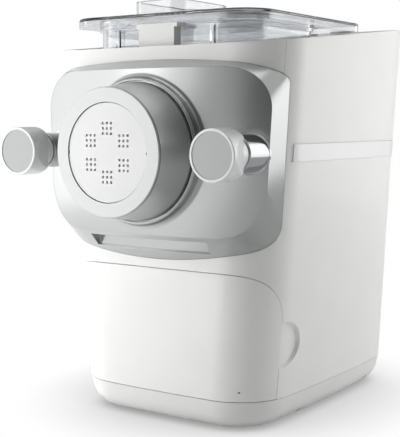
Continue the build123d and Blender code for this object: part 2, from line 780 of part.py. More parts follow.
for x, button_name in zip(BUTTON_X, ("power_button", "start_button")):
    with BuildPart() as button:
        button_length = BUTTON_HEIGHT + FLANGE_DROP - DECK_DROP + 1
        add(deck_disc(BUTTON_R, DECK_DROP - BUTTON_HEIGHT, button_length, x))
        add(deck_disc(BUTTON_FLANGE_R, FLANGE_DROP, 1.0, x))
        add(deck_disc(BUTTON_STEM_R, FLANGE_DROP, BUTTON_STEM, x))
    button.part.label = button_name
    export_step(button.part, "parts/" + button_name + ".step")

with BuildPart() as dial:
    add(deck_disc(DIAL_R, DECK_DROP - DIAL_HEIGHT - DIAL_GAP, DIAL_HEIGHT, DIAL_X))
    dial_shaft = STEM_END_DROP - DECK_DROP + DIAL_GAP + 1
    add(deck_disc(DIAL_SHAFT_R, DECK_DROP - DIAL_GAP - 1, dial_shaft, DIAL_X))
dial.part.label = "dial"
export_step(dial.part, "parts/dial.step")

with BuildPart() as control_board:
    add(deck_plate(2 * BOARD_HALF_X, 2 * BOARD_HALF_Y, BOARD_DROP, BOARD_THICK, BOARD_X))
    for x in BUTTON_X + (DIAL_X,):
        add(deck_plate(9, 9, BOARD_DROP + BOARD_THICK - 0.2, 4, x))
    add(deck_plate(2 * WINDOW_HALF_X - 8, 2 * WINDOW_HALF_Y - 8, DECK_DROP + DECK_THICK + 1, 5.8, WINDOW_X))
    add(deck_plate(20, 12, DECK_DROP + DECK_THICK + 3, BOARD_DROP - DECK_DROP - DECK_THICK - 2, WINDOW_X))
control_board.part.label = "control_board"
export_step(control_board.part, "parts/control_board.step")

# ---------------------------------------------------------------- Inner chassis and mixing chamber
MOTOR_Z = AXIS_Z - MOTOR_DROP
COARSE_CENTRES = COARSE_MODULE * (OUTPUT_TEETH + PINION_TEETH) / 2
FINE_CENTRES = FINE_MODULE * (WHEEL_TEETH + MOTOR_TEETH) / 2
IDLER_DROP = (COARSE_CENTRES**2 - FINE_CENTRES**2 + MOTOR_DROP**2) / (2 * MOTOR_DROP)
IDLER_X = sqrt(COARSE_CENTRES**2 - IDLER_DROP**2)
IDLER_Z = AXIS_Z - IDLER_DROP

EAR_PLACES = (
    (-50.9, AXIS_Z + 50.9),
    (50.9, AXIS_Z + 50.9),
    (IDLER_X + 65.8, IDLER_Z - 24.0),
    (-60.0, AXIS_Z - 51.0),
    (-20.5, MOTOR_Z - 20.5),
)

with BuildPart() as bulkhead:
    add(fitted_block)
    with BuildSketch(Plane.YZ.offset(-BIG / 2)):
        with Locations((BULKHEAD_Y, LIP_HIGH_Z + 2)):
            Rectangle(CHASSIS_WALL, BULKHEAD_TOP_Z - LIP_HIGH_Z - 2, align=(Align.MIN, Align.MIN))
    extrude(amount=BIG, mode=Mode.INTERSECT)
    add(ring(BEARING_R, 0, BIG / 4, BIG / 2), mode=Mode.SUBTRACT)
    with BuildSketch(front_plane(CASE_FRONT_Y)):
        with Locations(*EAR_PLACES):
            Circle(SCREW_R)
    extrude(amount=CHASSIS_WALL, mode=Mode.SUBTRACT)
bulkhead.part.label = "bulkhead"
export_step(bulkhead.part, "parts/bulkhead.step")

with BuildPart() as chamber_floor:
    add(fitted_block)
    with BuildSketch(Plane.YZ.offset(-BIG / 2)):
        with Locations((BULKHEAD_Y, CEILING_Z)):
            Rectangle(BIG, CHASSIS_WALL, align=(Align.MAX, Align.MIN))
    extrude(amount=BIG, mode=Mode.INTERSECT)
    for y in CRADLE_Y:
        add(
            box_between(
                (-CRADLE_HALF, CRADLE_HALF),
                (y - CRADLE_WIDTH / 2, y + CRADLE_WIDTH / 2),
                (CEILING_Z + 1, CRADLE_TOP_Z),
            )
        )
    for side in (-1, 1):
        add(
            box_between(
                (side * STRUT_HALF - CHASSIS_WALL / 2, side * STRUT_HALF + CHASSIS_WALL / 2),
                (CRADLE_Y[0], BULKHEAD_Y),
                (CEILING_Z + 1, CRADLE_TOP_Z),
            )
        )
    add(ring(CHAMBER_HALF + CRADLE_GAP, 0, BULKHEAD_Y, BIG / 2), mode=Mode.SUBTRACT)
chamber_floor.part.label = "chamber_floor"
export_step(chamber_floor.part, "parts/chamber_floor.step")


def chamber_block(inset, top_z):
    """Trough-shaped block of the mixing chamber, its front and rear edges rounded."""
    with BuildPart() as block:
        with BuildSketch(front_plane(CHAMBER_REAR_Y - inset)):
            with Locations((0, AXIS_Z)):
                Circle(CHAMBER_HALF - inset)
                Rectangle(2 * (CHAMBER_HALF - inset), top_z - AXIS_Z, align=(Align.CENTER, Align.MIN))
        extrude(amount=CHAMBER_REAR_Y - CHAMBER_FRONT_Y - 2 * inset)
        front_face = block.faces().sort_by(Axis.Y)[0]
        rear_face = block.faces().sort_by(Axis.Y)[-1]
        flat_top = block.faces().sort_by(Axis.Z)[-1]
        top_edges = flat_top.edges()
        front_edges = front_face.edges() - top_edges
        rear_edges = rear_face.edges() - top_edges
        fillet(front_edges, CHAMBER_FRONT_ROUND - inset)
        fillet(rear_edges, CHAMBER_REAR_ROUND - inset)
    return block.part


with BuildPart() as mixing_chamber:
    add(chamber_block(0.0, CHAMBER_TOP_Z))
    add(chamber_prism(CHAMBER_RIM, (CHAMBER_TOP_Z - CHAMBER_RIM_HEIGHT, CHAMBER_TOP_Z)))
    for side in (-1, 1):
        add(
            box_between(
                (side * RIB_X - RIB_WIDTH / 2, side * RIB_X + RIB_WIDTH / 2),
                (CHAMBER_FRONT_Y - RIB_DEPTH, CHAMBER_FRONT_Y + 1),
                (slope_z(CHAMBER_FRONT_Y) - FRAME_DROP + 1, CHAMBER_TOP_Z - 1),
            )
        )
    add(chamber_block(CHAMBER_WALL, CHAMBER_TOP_Z + 1), mode=Mode.SUBTRACT)
    add(ring(OUTLET_HOLE_R, 0, CHAMBER_FRONT_Y + 10, 20), mode=Mode.SUBTRACT)
    add(ring(SHAFT_SEAL_R, 0, CHAMBER_REAR_Y + 1, 20), mode=Mode.SUBTRACT)
mixing_chamber.part.label = "mixing_chamber"
export_step(mixing_chamber.part, "parts/mixing_chamber.step")

with BuildPart() as shaft_seal:
    add(ring(SHAFT_SEAL_R, 0, CHAMBER_REAR_Y, CHAMBER_WALL + 1))
    add(ring(SHAFT_SEAL_FLANGE_R, 0, CHAMBER_REAR_Y + SHAFT_SEAL_FLANGE, SHAFT_SEAL_FLANGE))
    add(ring(SHAFT_R + SHAFT_FIT, 0, CHAMBER_REAR_Y + 5, 20), mode=Mode.SUBTRACT)
shaft_seal.part.label = "shaft_seal"
export_step(shaft_seal.part, "parts/shaft_seal.step")


# ---------------------------------------------------------------- Front panel
BOW_CENTRE_Y = FACE_Y + FACE_R


def bow_plane(half_angle):
    """Upright plane through the bow's centre line, turned to the left; local x runs outwards from it."""
    turn = radians(half_angle)
    return Plane(
        origin=(0, BOW_CENTRE_Y, 0),
        x_dir=(-sin(turn), -cos(turn), 0),
        z_dir=(-cos(turn), sin(turn), 0),
    )


def bowed_prism(outline_points, half_angle):
    """Sweep of a (depth, height) outline round the bow's centre line, to both sides of the middle."""
    with BuildPart() as made:
        with BuildSketch(bow_plane(half_angle)):
            with BuildLine():
                Polyline(*[(BOW_CENTRE_Y - y, z) for y, z in outline_points], close=True)
            make_face()
        revolve(axis=Axis((0, BOW_CENTRE_Y, 0), (0, 0, 1)), revolution_arc=2 * half_angle)
    return made.part


def face_depth(x):
    """Depth of the bowed face at a distance from the middle."""
    return BOW_CENTRE_Y - sqrt(FACE_R**2 - x**2)


def panel_half(height, end):
    """Half width of the panel's flanks at a height; end is 0 at the face and 1 at the rear."""
    low = HALF_WIDTH_TOP - PANEL_LOW_INSET[end]
    top = HALF_WIDTH_TOP - PANEL_TOP_INSET[end]
    return low + (top - low) * (height - PANEL_LOW_Z) / (PANEL_TOP_Z - PANEL_LOW_Z)


def panel_section(y, end, inset):
    """Outline of the panel at a depth, its upper and lower edges bowed like the face."""
    depth = y - FACE_Y
    top_z = FACE_TOP_Z + BROW_SLOPE * depth - inset * hypot(1, BROW_SLOPE)
    low_z = FACE_LOW_Z - CHIN_SLOPE * depth + inset * hypot(1, CHIN_SLOPE)
    top_half = panel_half(top_z, end) - inset
    low_half = panel_half(low_z, end) - inset
    top_end_z = top_z - BROW_SLOPE * top_half**2 / (2 * FACE_R)
    low_end_z = low_z + CHIN_SLOPE * low_half**2 / (2 * FACE_R)
    with BuildSketch(front_plane(y)) as section:
        with BuildLine():
            ThreePointArc((-top_half, top_end_z), (0, top_z), (top_half, top_end_z))
            Line((top_half, top_end_z), (low_half, low_end_z))
            ThreePointArc((low_half, low_end_z), (0, low_z), (-low_half, low_end_z))
            Line((-low_half, low_end_z), (-top_half, top_end_z))
        make_face()
        fillet(section.vertices().group_by(Axis.Y)[0], CHIN_CORNER_R[end] - inset)
        fillet(section.vertices().group_by(Axis.Y)[-1], BROW_CORNER_R[end] - inset)
    return section.sketch.face()


def panel_block(inset):
    """The front panel as a solid block: bowed face, flanks spreading from its edge to the rear."""
    with BuildPart() as block:
        loft(
            sections=[
                panel_section(FACE_Y - 2, 0, inset),
                panel_section(PANEL_REAR_Y, 1, inset),
            ],
            ruled=True,
        )
        with Locations((0, BOW_CENTRE_Y, AXIS_Z)):
            Cylinder(FACE_R - inset, BIG, mode=Mode.INTERSECT)
    return block.part


def slot_outline(grow, depth):
    """Depth and height outline of the finger slot in the panel's chin."""
    return (
        (FACE_Y - 5, SLOT_LOW_Z - grow),
        (depth, SLOT_LOW_Z - grow),
        (depth, SLOT_HIGH_Z + grow),
        (FACE_Y - 5, SLOT_HIGH_Z + grow),
    )


def post_places():
    """Front-view places of the posts that carry the panel's back plate."""
    return [(x, AXIS_Z + z) for x in (-POST_X, POST_X) for z in (-POST_Z, POST_Z)]


SLOT_ANGLE = degrees(atan2(SLOT_HALF, FACE_R))
SLOT_WALL_ANGLE = degrees(atan2(SLOT_HALF + SLOT_WALL, FACE_R))
SLOT_MID_Z = (SLOT_LOW_Z + SLOT_HIGH_Z) / 2
SLOT_FLOOR_Y = FACE_Y + (FACE_LOW_Z - SLOT_MID_Z) / CHIN_SLOPE + SLOT_DEPTH
panel_solid = panel_block(0.0)



def rim_foot(edge):
    """True for an edge where the round rim stands on the bowed face."""
    spot = edge @ 0.5
    on_rim = abs(hypot(spot.X, spot.Z - AXIS_Z) - RIM_R) < 0.1
    return on_rim and abs(spot.Y - face_depth(spot.X)) < 0.1


with BuildPart() as bezel:
    add(panel_solid)
    add(ring(RIM_R, 0, FACE_Y + 10, FACE_Y + 10 - RIM_FRONT_Y))
    fillet(bezel.edges().group_by(Axis.Y)[0], RIM_ROUND)
    fillet(bezel.edges().filter_by(rim_foot), RIM_BLEND)
    add(panel_block(PANEL_WALL), mode=Mode.SUBTRACT)
    add(
        bowed_prism(slot_outline(SLOT_WALL, SLOT_FLOOR_Y + SLOT_WALL), SLOT_WALL_ANGLE)
        .intersect(panel_solid)
    )
    add(bowed_prism(slot_outline(0, SLOT_FLOOR_Y), SLOT_ANGLE), mode=Mode.SUBTRACT)
    with BuildSketch(front_plane(PLATE_FRONT_Y)):
        with Locations(*post_places()):
            Circle(POST_R)
    extrude(amount=POST_LENGTH)
    add(ring(RIM_R - PANEL_WALL, 0, 0, -RIM_FLOOR_Y - PANEL_WALL), mode=Mode.SUBTRACT)
    add(ring(RIM_RECESS_R, 0, RIM_FLOOR_Y, BIG / 8), mode=Mode.SUBTRACT)
    add(ring(HEAD_R + NUT_CLEAR, 0, 0, BIG / 2), mode=Mode.SUBTRACT)
    for side in (-1, 1):
        add(ring(COLLAR_SPIGOT_R, 0, 0, BIG / 2, side * KNOB_X, KNOB_Z), mode=Mode.SUBTRACT)
    with BuildSketch(front_plane(PLATE_FRONT_Y)):
        with Locations(*post_places()):
            Circle(SCREW_R)
    extrude(amount=POST_LENGTH, mode=Mode.SUBTRACT)
    add(body_block(PANEL_LOW_Z - 80, SHELL_TOP_Z, -PANEL_GAP), mode=Mode.SUBTRACT)
bezel.part.label = "bezel"
export_step(bezel.part, "parts/bezel.step")

with BuildPart() as panel_back:
    with BuildSketch(front_plane(PLATE_FRONT_Y + PLATE_THICK)):
        with Locations((0, AXIS_Z)):
            RectangleRounded(2 * PLATE_HALF_X, 2 * PLATE_HALF_Z, PLATE_CORNER_R / 2)
            Circle(TUBE_R, mode=Mode.SUBTRACT)
        with Locations(*post_places()):
            Circle(SCREW_R, mode=Mode.SUBTRACT)
    extrude(amount=PLATE_THICK)
panel_back.part.label = "panel_back"
export_step(panel_back.part, "parts/panel_back.step")

with BuildPart() as panel_screws:
    with BuildSketch(front_plane(PLATE_FRONT_Y + PLATE_THICK + SCREW_HEAD - 0.4)):
        with Locations(*post_places()):
            Circle(SCREW_HEAD_R)
    extrude(amount=SCREW_HEAD - 0.4)
    with BuildSketch(front_plane(PLATE_FRONT_Y + PLATE_THICK)):
        with Locations(*post_places()):
            Circle(SCREW_R)
    extrude(amount=PLATE_THICK + POST_LENGTH)
panel_screws.part.label = "panel_screws"
export_step(panel_screws.part, "parts/panel_screws.step")


def turned(points, x=0.0, z=AXIS_Z):
    """Solid turned about a line along Y from a closed outline of (radius, depth) points."""
    with BuildPart() as made:
        with BuildSketch(Plane.XY.offset(z)):
            with BuildLine():
                Polyline(*[(x + radius, y) for radius, y in points], close=True)
            make_face()
        revolve(axis=Axis((x, 0, z), (0, 1, 0)))
    return made.part


def lugs(outer_r, inner_r, rear_y, length):
    """Three bayonet lugs about the main axis, one of them at the top."""
    near = 20.0
    far = 80.0
    half = radians(LUG_SPAN / 2)
    with BuildPart() as made:
        with BuildSketch(front_plane(rear_y)):
            with Locations((0, AXIS_Z)):
                with PolarLocations(0, 3, 90):
                    Polygon(
                        (near * cos(half), -near * sin(half)),
                        (far * cos(half), -far * sin(half)),
                        (far * cos(half), far * sin(half)),
                        (near * cos(half), near * sin(half)),
                        align=None,
                    )
        extrude(amount=length)
        add(ring(outer_r, inner_r, rear_y, length), mode=Mode.INTERSECT)
    return made.part


# ---------------------------------------------------------------- Extrusion tube, shaping disc and nut
with BuildPart() as extrusion_tube:
    add(
        turned(
            (
                (TUBE_BORE_R, TUBE_REAR_Y),
                (TUBE_R, TUBE_REAR_Y),
                (TUBE_R, HEAD_FRONT_Y + MOUTH_STEP * 2),
                (HEAD_R - PANEL_WALL, HEAD_FRONT_Y + MOUTH_STEP * 2),
                (HEAD_R - PANEL_WALL, PLATE_FRONT_Y),
                (FLANGE_R, PLATE_FRONT_Y),
                (FLANGE_R, PLATE_FRONT_Y - FLANGE_THICK),
                (HEAD_R, PLATE_FRONT_Y - FLANGE_THICK),
                (HEAD_R, HEAD_FRONT_Y),
                (HEAD_MOUTH_R, HEAD_FRONT_Y),
                (HEAD_MOUTH_R, HEAD_FRONT_Y + MOUTH_STEP),
                (TUBE_BORE_R, HEAD_FRONT_Y + MOUTH_STEP * 1.6),
            )
        )
    )
    add(lugs(LUG_R, HEAD_R - 1, LUG_FRONT_Y + LUG_THICK, LUG_THICK))
extrusion_tube.part.label = "extrusion_tube"
export_step(extrusion_tube.part, "parts/extrusion_tube.step")

with BuildPart() as outlet_seal:
    add(ring(OUTLET_HOLE_R - INNER_FIT, TUBE_R, TUBE_REAR_Y - 1, SEAL_LENGTH))
outlet_seal.part.label = "outlet_seal"
export_step(outlet_seal.part, "parts/outlet_seal.step")

with BuildPart() as disc_nut:
    slope = (NUT_REAR_R - NUT_FRONT_R) / (NUT_REAR_Y - OUTLET_FACE_Y)
    groove_rear_y = OUTLET_FACE_Y + NUT_PLATE + NUT_GROOVE_WIDTH
    core_skin_r = NUT_FRONT_R + slope * (NUT_CORE_REAR_Y - OUTLET_FACE_Y) - NUT_SKIN
    add(
        turned(
            (
                (NUT_OPENING_R, OUTLET_FACE_Y),
                (NUT_FRONT_R, OUTLET_FACE_Y),
                (NUT_FRONT_R, OUTLET_FACE_Y + NUT_PLATE),
                (NUT_FRONT_R - NUT_GROOVE_DEPTH, OUTLET_FACE_Y + NUT_PLATE),
                (NUT_FRONT_R - NUT_GROOVE_DEPTH, groove_rear_y),
                (NUT_FRONT_R, groove_rear_y),
                (NUT_REAR_R, NUT_REAR_Y),
                (NUT_REAR_R - NUT_SKIN, NUT_REAR_Y),
                (core_skin_r, NUT_CORE_REAR_Y),
                (NUT_BORE_R, NUT_CORE_REAR_Y),
                (NUT_BORE_R, OUTLET_FACE_Y + NUT_LIP),
                (NUT_OPENING_R, OUTLET_FACE_Y + NUT_LIP),
            )
        )
    )
    fillet(disc_nut.edges().group_by(Axis.Y)[0].sort_by(SortBy.RADIUS)[-1], NUT_EDGE_R)
    lug_rear_y = LUG_FRONT_Y + LUG_THICK + LUG_PLAY + LUG_THICK
    add(lugs(NUT_BORE_R + 0.6, HEAD_R + NUT_CLEAR, lug_rear_y, LUG_THICK))
disc_nut.part.label = "disc_nut"
export_step(disc_nut.part, "parts/disc_nut.step")

DISC_FRONT_Y = OUTLET_FACE_Y + DISC_RECESS
DIE_LAND_Y = DISC_FRONT_Y + DIE_LAND


def group_places():
    """Front-view places of the die groups on the shaping disc, the first one at the top."""
    turns = [90 + 360 / DIE_GROUPS * k for k in range(DIE_GROUPS)]
    return [
        (DIE_RING_R * cos(radians(turn)), AXIS_Z + DIE_RING_R * sin(radians(turn)))
        for turn in turns
    ]


with BuildPart() as shaping_disc:
    add(ring(DISC_FLANGE_R, 0, HEAD_FRONT_Y, DISC_FLANGE_THICK))
    add(ring(DISC_FACE_R, 0, HEAD_FRONT_Y, HEAD_FRONT_Y - DISC_FRONT_Y))
    with BuildSketch(front_plane(HEAD_FRONT_Y)):
        with Locations(*group_places()):
            Rectangle(DIE_POCKET, DIE_POCKET)
    extrude(amount=HEAD_FRONT_Y - DIE_LAND_Y, mode=Mode.SUBTRACT)
    with BuildSketch(front_plane(HEAD_FRONT_Y)):
        with Locations(*group_places()):
            with GridLocations(DIE_PITCH, DIE_PITCH, DIE_ROWS, DIE_ROWS):
                Rectangle(DIE_HOLE, DIE_HOLE)
    extrude(amount=HEAD_FRONT_Y - OUTLET_FACE_Y, mode=Mode.SUBTRACT)
    for side in (-1, 1):
        add(ring(NOTCH_R, 0, DISC_FRONT_Y + NOTCH_R, 5, side * DISC_FACE_R), mode=Mode.SUBTRACT)
shaping_disc.part.label = "shaping_disc"
export_step(shaping_disc.part, "parts/shaping_disc.step")

# ---------------------------------------------------------------- Locking knobs, collars and studs
KNOB_REAR_Y = KNOB_FACE_Y + KNOB_BARREL
NECK_REAR_Y = KNOB_REAR_Y + KNOB_NECK
COLLAR_FRONT_Y = NECK_REAR_Y + COLLAR_GAP
panel_outset = panel_block(-COLLAR_BASE_PROUD)

for side, side_name in ((-1, "left"), (1, "right")):
    knob_x = side * KNOB_X
    with BuildPart() as knob_collar:
        add(ring(COLLAR_R, 0, COLLAR_REAR_Y, COLLAR_REAR_Y - COLLAR_FRONT_Y, knob_x, KNOB_Z))
        fillet(knob_collar.edges().group_by(Axis.Y)[0], 0.8)
        base_disc = ring(COLLAR_BASE_R, 0, COLLAR_BASE_REAR_Y, BIG / 8, knob_x, KNOB_Z)
        add(base_disc.intersect(panel_outset))
        add(panel_solid, mode=Mode.SUBTRACT)
        spigot_length = COLLAR_REAR_Y - COLLAR_FRONT_Y - 6
        add(ring(COLLAR_SPIGOT_R, 0, COLLAR_REAR_Y, spigot_length, knob_x, KNOB_Z))
        add(ring(SLEEVE_R + SLEEVE_FIT, 0, 0, BIG / 2, knob_x, KNOB_Z), mode=Mode.SUBTRACT)
    knob_collar.part.label = "knob_collar_" + side_name
    export_step(knob_collar.part, "parts/knob_collar_" + side_name + ".step")

    with BuildPart() as knob:
        add(ring(KNOB_R, 0, KNOB_REAR_Y, KNOB_BARREL, knob_x, KNOB_Z))
        fillet(knob.edges().group_by(Axis.Y)[0], 0.8)
        fillet(knob.edges().group_by(Axis.Y)[-1], KNOB_REAR_FILLET)
        with BuildSketch(Plane.XY.offset(KNOB_Z - BIG / 8)):
            for flat in (-1, 1):
                with BuildLine():
                    Polyline(
                        (knob_x + flat * GRIP_FLAT_FRONT, KNOB_FACE_Y + GRIP_FLAT_START),
                        (knob_x + flat * GRIP_FLAT_REAR, KNOB_REAR_Y),
                        (knob_x + flat * 2 * KNOB_R, KNOB_REAR_Y),
                        (knob_x + flat * 2 * KNOB_R, KNOB_FACE_Y + GRIP_FLAT_START),
                        close=True,
                    )
                make_face()
        extrude(amount=BIG / 4, mode=Mode.SUBTRACT)
        add(ring(KNOB_NECK_R, 0, NECK_REAR_Y, KNOB_NECK + 1, knob_x, KNOB_Z))
        add(ring(SLEEVE_R, 0, SLEEVE_REAR_Y, SLEEVE_REAR_Y - KNOB_REAR_Y, knob_x, KNOB_Z))
        add(
            ring(SLEEVE_R + 1, CLIP_GROOVE_R, CLIP_REAR_Y, CLIP_THICK, knob_x, KNOB_Z),
            mode=Mode.SUBTRACT,
        )
        cap_depth = KNOB_RECESS + KNOB_CAP_THICK
        add(ring(KNOB_R - KNOB_RIM, 0, KNOB_FACE_Y + cap_depth, 5, knob_x, KNOB_Z), mode=Mode.SUBTRACT)
        bore_length = SLEEVE_REAR_Y - STUD_FRONT_Y + 1
        add(ring(STUD_R + STUD_CLEAR, 0, SLEEVE_REAR_Y, bore_length, knob_x, KNOB_Z), mode=Mode.SUBTRACT)
    knob.part.label = "knob_" + side_name
    export_step(knob.part, "parts/knob_" + side_name + ".step")

    with BuildPart() as knob_cap:
        add(ring(KNOB_R - KNOB_RIM, 0, KNOB_FACE_Y + cap_depth, KNOB_CAP_THICK, knob_x, KNOB_Z))
    knob_cap.part.label = "knob_cap_" + side_name
    export_step(knob_cap.part, "parts/knob_cap_" + side_name + ".step")

    with BuildPart() as knob_clip:
        add(ring(CLIP_R, CLIP_GROOVE_R, CLIP_REAR_Y, CLIP_THICK, knob_x, KNOB_Z))
    knob_clip.part.label = "knob_clip_" + side_name
    export_step(knob_clip.part, "parts/knob_clip_" + side_name + ".step")

with BuildPart() as locking_studs:
    for side in (-1, 1):
        add(ring(STUD_R, 0, STUD_ROOT_Y, STUD_ROOT_Y - STUD_FRONT_Y, side * KNOB_X, KNOB_Z))
        add(ring(STUD_FLANGE_R, 0, STUD_SEAT_Y, STUD_FLANGE, side * KNOB_X, KNOB_Z))
locking_studs.part.label = "locking_studs"
export_step(locking_studs.part, "parts/locking_studs.step")


# ---------------------------------------------------------------- Auger, paddle and drive shaft
def hex_bar(across, rear_y, length):
    """Six-sided bar on the main axis, given by its corner radius."""
    with BuildPart() as bar:
        with BuildSketch(front_plane(rear_y)):
            with Locations((0, AXIS_Z)):
                RegularPolygon(across, 6)
        extrude(amount=length)
    return bar.part


with BuildPart() as drive_shaft:
    add(ring(SHAFT_R, 0, SHAFT_REAR_Y, SHAFT_REAR_Y - HEX_REAR_Y))
    add(hex_bar(SHAFT_R, HEX_REAR_Y, HEX_REAR_Y - SHAFT_FRONT_Y))
    chamfer(drive_shaft.edges().group_by(Axis.Y)[-1], 0.8)
drive_shaft.part.label = "drive_shaft"
export_step(drive_shaft.part, "parts/drive_shaft.step")

with BuildPart() as auger:
    helix_length = AUGER_REAR_Y - AUGER_FRONT_Y - FLIGHT_ROOT
    helix_start_y = AUGER_REAR_Y - FLIGHT_ROOT / 2
    with BuildLine() as flight_path:
        helix_centre = (0, helix_start_y, AXIS_Z)
        Helix(AUGER_PITCH, helix_length, AUGER_CORE_R, center=helix_centre, direction=(0, -1, 0))
    start = flight_path.line @ 0
    outwards = Vector(start.X, 0, start.Z - AXIS_Z).normalized()
    with BuildSketch(Plane(origin=start, x_dir=outwards, z_dir=flight_path.line % 0)):
        with BuildLine():
            Polyline(
                (-1, -FLIGHT_ROOT / 2),
                (AUGER_R - AUGER_CORE_R, -FLIGHT_TIP / 2),
                (AUGER_R - AUGER_CORE_R, FLIGHT_TIP / 2),
                (-1, FLIGHT_ROOT / 2),
                close=True,
            )
        make_face()
    sweep(path=flight_path.line, is_frenet=True)
    add(ring(AUGER_CORE_R, 0, AUGER_REAR_Y, AUGER_REAR_Y - AUGER_FRONT_Y))
    bore_rear_y = AUGER_REAR_Y + 5
    add(hex_bar(SHAFT_R + HEX_FIT, bore_rear_y, bore_rear_y - SHAFT_FRONT_Y), mode=Mode.SUBTRACT)
auger.part.label = "auger"
export_step(auger.part, "parts/auger.step")

with BuildPart() as paddle:
    add(ring(PADDLE_HUB_R, 0, PADDLE_REAR_Y, PADDLE_REAR_Y - AUGER_REAR_Y))
    for arm in range(PADDLE_ARMS):
        arm_y = PADDLE_FIRST_Y + arm * PADDLE_STEP
        turn = PADDLE_START + 90 * arm
        arm_part = (PADDLE_HUB_R - 4, PADDLE_ARM)
        blade_part = (PADDLE_REACH - PADDLE_BLADE_DEPTH, PADDLE_BLADE)
        for low_r, width in (arm_part, blade_part):
            with BuildSketch(front_plane(arm_y + width / 2)):
                with Locations((0, AXIS_Z)):
                    with PolarLocations((PADDLE_REACH + low_r) / 2, 1, turn):
                        Rectangle(PADDLE_REACH - low_r, PADDLE_THICK)
            extrude(amount=width)
    add(hex_bar(SHAFT_R + HEX_FIT, PADDLE_REAR_Y + 5, 100), mode=Mode.SUBTRACT)
paddle.part.label = "paddle"
export_step(paddle.part, "parts/paddle.step")


# ---------------------------------------------------------------- Gear train
def gear(module, teeth, rear_y, face, x, z, tooth_at):
    """Spur gear about a line along Y, one tooth centred on the direction tooth_at, in degrees."""
    pitch_r = module * teeth / 2
    root_r = pitch_r - DEDENDUM * module
    tip_r = pitch_r + ADDENDUM * module
    flank = tan(radians(PRESSURE_ANGLE))
    half_pitch = TOOTH_THIN * pi * module / 4
    half_tip = half_pitch - ADDENDUM * module * flank
    half_root = half_pitch + DEDENDUM * module * flank
    outline = []
    for tooth in range(teeth):
        turn = radians(tooth_at + 360 * tooth / teeth)
        tooth_points = (
            (root_r, -half_root),
            (tip_r, -half_tip),
            (tip_r, half_tip),
            (root_r, half_root),
        )
        for radius, half in tooth_points:
            at = turn + half / radius
            outline.append((x + radius * cos(at), z + radius * sin(at)))
    with BuildPart() as made:
        with BuildSketch(front_plane(rear_y)):
            with BuildLine():
                Polyline(*outline, close=True)
            make_face()
        extrude(amount=face)
    return made.part


COARSE_LINE = degrees(atan2(IDLER_Z - AXIS_Z, IDLER_X))
FINE_LINE = degrees(atan2(MOTOR_Z - IDLER_Z, -IDLER_X))
COARSE_REAR_Y = GEAR_FRONT_Y + COARSE_FACE
FINE_FRONT_Y = COARSE_REAR_Y + GEAR_STEP
FINE_REAR_Y = FINE_FRONT_Y + FINE_FACE
CASE_REAR_Y = CASE_FRONT_Y + CASE_DEPTH

with BuildPart() as output_gear:
    add(gear(COARSE_MODULE, OUTPUT_TEETH, COARSE_REAR_Y, COARSE_FACE, 0, AXIS_Z, COARSE_LINE))
    add(ring(WEB_OUTER_R, WEB_INNER_R, COARSE_REAR_Y + 1, WEB_DEPTH + 1), mode=Mode.SUBTRACT)
    add(ring(GEAR_HUB_R, 0, COARSE_REAR_Y + GEAR_STEP, COARSE_FACE))
    with BuildSketch(front_plane(COARSE_REAR_Y)):
        with Locations((0, AXIS_Z)):
            with PolarLocations((WEB_OUTER_R + WEB_INNER_R) / 2, 6):
                Circle(GEAR_HOLE_R)
    extrude(amount=COARSE_FACE, mode=Mode.SUBTRACT)
    add(ring(SHAFT_R, 0, COARSE_REAR_Y + 5, 30), mode=Mode.SUBTRACT)
output_gear.part.label = "output_gear"
export_step(output_gear.part, "parts/output_gear.step")

with BuildPart() as compound_gear:
    pinion_gap = COARSE_LINE + 180 + 180 / PINION_TEETH
    pinion_face = COARSE_FACE + GEAR_STEP + 1
    add(gear(COARSE_MODULE, PINION_TEETH, FINE_FRONT_Y + 1, pinion_face, IDLER_X, IDLER_Z, pinion_gap))
    add(gear(FINE_MODULE, WHEEL_TEETH, FINE_REAR_Y, FINE_FACE, IDLER_X, IDLER_Z, FINE_LINE))
    add(
        ring(WHEEL_WEB_OUTER_R, GEAR_HUB_R, FINE_REAR_Y + 1, WEB_DEPTH + 1, IDLER_X, IDLER_Z),
        mode=Mode.SUBTRACT,
    )
    add(ring(GEAR_HUB_R - 3, 0, CASE_REAR_Y - CASE_WALL - 1, 4, IDLER_X, IDLER_Z))
    add(ring(GEAR_HUB_R - 3, 0, GEAR_FRONT_Y, 4, IDLER_X, IDLER_Z))
    add(ring(IDLER_R + SHAFT_FIT, 0, CASE_REAR_Y, 50, IDLER_X, IDLER_Z), mode=Mode.SUBTRACT)
compound_gear.part.label = "compound_gear"
export_step(compound_gear.part, "parts/compound_gear.step")

with BuildPart() as motor_pinion:
    motor_gap = FINE_LINE + 180 + 180 / MOTOR_TEETH
    add(gear(FINE_MODULE, MOTOR_TEETH, FINE_REAR_Y + 1, FINE_FACE + 2, 0, MOTOR_Z, motor_gap))
    shaft_length = MOTOR_BORE_DEPTH + CASE_REAR_Y - FINE_FRONT_Y + 3
    add(ring(MOTOR_SHAFT_R, 0, CASE_REAR_Y + MOTOR_BORE_DEPTH - 1, shaft_length, 0, MOTOR_Z))
motor_pinion.part.label = "motor_pinion"
export_step(motor_pinion.part, "parts/motor_pinion.step")


